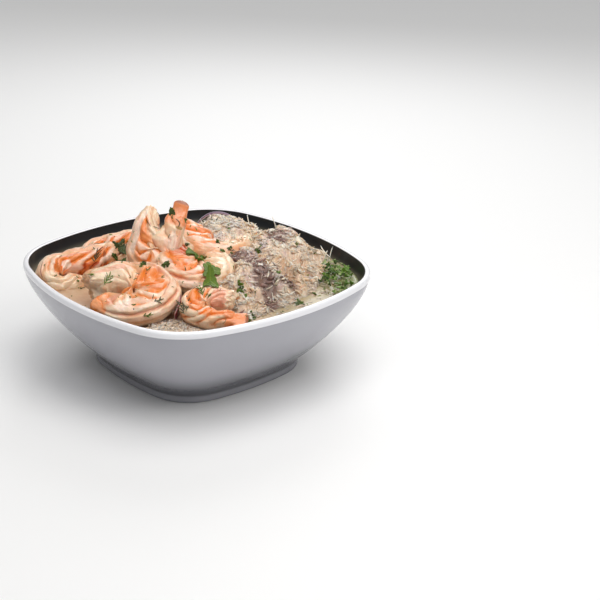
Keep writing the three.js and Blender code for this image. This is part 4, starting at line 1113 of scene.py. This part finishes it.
patchForm = {"rings": 3, "spokes": 14, "lift": 0.4, "seed": 81}
# patches of leaf bits: place, reach and number
patches = [
    (-24.2, -38.7, 2.6, 10), (-12.7, -34.9, 2.4, 9), (-4.2, -12, 1.8, 5), (25.8, -43.8, 3.4, 14),
    (31.8, -51.8, 2.6, 6), (30.6, -57.4, 2, 5), (15, -10.3, 2, 6), (18, 0.6, 2, 6), (10.5, -60.1, 1.8, 5),
    (62.6, -19.3, 1.8, 5), (54.3, -29.9, 1.6, 4), (56.1, -33.9, 3, 10), (15.3, 26.3, 1.8, 5),
    (4.9, 33, 1.4, 3), (7.9, 31, 1.6, 5), (12.4, 36, 1.6, 4), (10.4, 3.6, 2, 5), (32.3, 2.7, 2.2, 7),
    (43.2, -24.1, 2.2, 6), (52.8, 25.8, 1.8, 5), (-60.1, -20.7, 1.2, 3), (-27.4, -61.8, 1.1, 3),
    (-41.6, -3.5, 4.6, 22),
]


def findGround(endings):
    # a function that drops points of the food's frame onto the pieces whose names have these endings, and
    # gives their places, the normals there and which points landed
    graph = bpy.context.evaluated_depsgraph_get()
    hosts = [piece for piece in bpy.data.objects if piece.name.endswith(endings)]
    trees = [BVHTree.FromObject(host, graph) for host in hosts]

    def ground(x, y):
        places, normals = np.zeros((len(x), 3)), np.tile((0.0, 0.0, 1.0), (len(x), 1))
        for i, (px, py, _) in enumerate(turnAboutZ(vectors(x, y, 0), turnOfFood)):
            hits = [tree.ray_cast(Vector((px * mm, py * mm, 0.2)), Vector((0, 0, -1))) for tree in trees]
            hits = [hit for hit in hits if hit[0]]
            if hits:
                place, normal, *_ = max(hits, key=lambda hit: hit[0].z)
                places[i], normals[i] = place / mm, normal
        return turnAboutZ(places, -turnOfFood), turnAboutZ(normals, -turnOfFood), places[:, 2] > 0

    return ground


def buildSpecks(ground):
    # each kind is strewn evenly over the food, and what misses it or lands on a steep side is left out
    for name, kind in specks.items():
        draws, count = np.random.default_rng(kind["seed"]), kind["count"]
        places, normals, landed = ground(*(draws.uniform(*span, count) for span in speckSpread))
        keep = landed & insideBowl(places, 2) & (normals[:, 2] > 0.2)
        places, normals, count = places[keep], normals[keep], keep.sum()
        length = blend(*kind["length"], draws.random(count))
        width = length * blend(*kind["slim"], draws.random(count))
        size = vectors(length, width, width * 0.5)
        local = slimBits(*garnishShape, size, draws, (0.1, 0.15), (0, 0.3))
        heading = draws.normal(0, 1, (count, 3))
        addBits("herb_" + name, garnishShape, local, places + normals * kind["lift"], normals, heading,
                paint(*kind["tones"], draws.random(count))[:, None], herbFinish, "herb_clump")


def buildSprigs(ground):
    # needles fan out from a stem to either side in turn, each a slim bit lying on what is under the sprig
    form, needleBits = sprigForm, []
    draws = np.random.default_rng(form["seed"])
    for x, y, degrees, length, needles, tone in sprigs:
        place, up, _ = (values[0] for values in ground(np.array([x]), np.array([y])))
        along = np.array([*cosSin(degrees), 0])
        along = unit(along - up * (along @ up))
        aside = np.cross(up, along)
        for needle in range(needles + 1):
            stem = needle == 0
            spread = 0 if stem else (1 if needle % 2 else -1) * draws.uniform(*form["spread"])
            reach = length / 2 if stem else length * draws.uniform(*form["reach"])
            root = 0 if stem else length * (needle - 1) / needles * 0.7
            way = along * np.cos(spread) + aside * np.sin(spread)
            at = place + up * form["lift"] + along * (root - length / 3) + way * reach
            needleBits.append(((reach, form["width"], form["thickness"]), at, up, way, form[tone]))
    size, at, normal, heading, tones = (np.array(values) for values in zip(*needleBits))
    local = slimBits(*form["shape"], size, draws, (0.05, 0.08), (0, 0.12))
    tint = tones * blend(0.8, 1.4, draws.random(len(size)))[:, None]
    addBits("herb_sprigs", form["shape"], local, at, normal, heading, tint[:, None],
            herbFinish, "herb_clump")


def buildPatches(ground):
    # torn bits of leaf lying together, strewn normally about each patch's place
    form, draws = patchForm, np.random.default_rng(patchForm["seed"])
    *values, numbers = zip(*patches)
    x, y, reach = (np.repeat(value, numbers) for value in values)
    x, y = x + reach * draws.normal(0, 0.32, len(x)), y + reach * draws.normal(0, 0.4, len(x))
    places, normals, landed = ground(x, y)
    count = landed.sum()
    sizes = reach[landed] * draws.uniform(0.35, 0.85, count)
    normals = normals[landed] + draws.normal(0, 0.35, (count, 3))
    local = leaflets(sizes, draws, form["rings"], form["spokes"])
    heading = draws.normal(0, 1, (count, 3))
    tint = paint(leafForm["dark"], leafForm["bright"], draws.random(count))
    at = places[landed] + (0, 0, form["lift"])
    addBits("herb_patches", (2 * form["rings"], form["spokes"]), local, at, normals, heading,
            tint[:, None], herbFinish, "herb_clump")


camera = {
    "at": (513.87, -395.86, 306.43), "azimuth": 47.48, "elevation": 22.67, "roll": 1.86, "lens": 77.965,
}
lights = {
    "top": {"at": (150, 150, 1100), "size": 700, "power": 4.0, "colour": (1.0, 0.99, 0.97)},
    "key": {"at": (520, 60, 560), "size": 360, "power": 1.6, "colour": (1.0, 0.985, 0.96)},
    "back": {"at": (-420, 460, 520), "size": 420, "power": 1.6, "colour": (1.0, 1.0, 1.0)},
}
sun = {"strength": 0.88, "spread": 50, "tilt": (18, 10, 0)}
room = {"floor": (0.86, 0.86, 0.86, 1), "sky": 0.28, "reach": 4.0}


def buildStage():
    # a pale floor and sky, three square lamps that face the food, a wide sun and the camera
    floorMesh, reach = bpy.data.meshes.new("floor"), room["reach"]
    corners = [(-reach, -reach, 0), (reach, -reach, 0), (reach, reach, 0), (-reach, reach, 0)]
    floorMesh.from_pydata(corners, [], [(0, 1, 2, 3)])
    paper = bpy.data.materials.new("paper_floor")
    paper.use_nodes = True
    shader = paper.node_tree.nodes["Principled BSDF"]
    shader.inputs["Base Color"].default_value = room["floor"]
    shader.inputs["Roughness"].default_value = 0.6
    floorMesh.materials.append(paper)
    stand("floor", floorMesh)
    world = bpy.data.worlds.new("pale_room")
    world.use_nodes = True
    sky = world.node_tree.nodes["Background"].inputs
    sky["Color"].default_value, sky["Strength"].default_value = (1, 1, 1, 1), room["sky"]
    bpy.context.scene.world = world
    for name, light in lights.items():
        data = bpy.data.lights.new(name, "AREA")
        data.size, data.energy, data.color = light["size"] * mm, light["power"], light["colour"]
        lamp = stand(name, data)
        lamp.location = Vector(light["at"]) * mm
        lamp.rotation_euler = (Vector((0, 0, 0.04)) - lamp.location).to_track_quat("-Z", "Y").to_euler()
    data = bpy.data.lights.new("sun", "SUN")
    data.energy, data.angle = sun["strength"], np.radians(sun["spread"])
    stand("sun", data).rotation_euler = [np.radians(value) for value in sun["tilt"]]
    data = bpy.data.cameras.new("camera")
    data.lens, data.sensor_width = camera["lens"], 36
    eye = stand("camera", data)
    eye.location = Vector(camera["at"]) * mm
    turn = Euler((0, 0, np.radians(camera["azimuth"]))).to_matrix()
    turn = turn @ Euler((np.radians(90 - camera["elevation"]), 0, 0)).to_matrix()
    eye.rotation_euler = (turn @ Euler((0, 0, np.radians(camera["roll"]))).to_matrix()).to_euler()
    bpy.context.scene.camera = eye
    bpy.context.scene.view_settings.view_transform = "Standard"


buildBowl()
buildBroth()
buildShrimps()
buildHeapCore()
buildHeapBits()
buildStrays()
buildOnions()
buildClump()
buildLeaves(findGround(("flesh", "core", "pool")))
ground = findGround(("flesh", "core", "pool", "blade"))
buildSpecks(ground)
buildSprigs(ground)
buildPatches(ground)
buildStage()
print("pieces made")
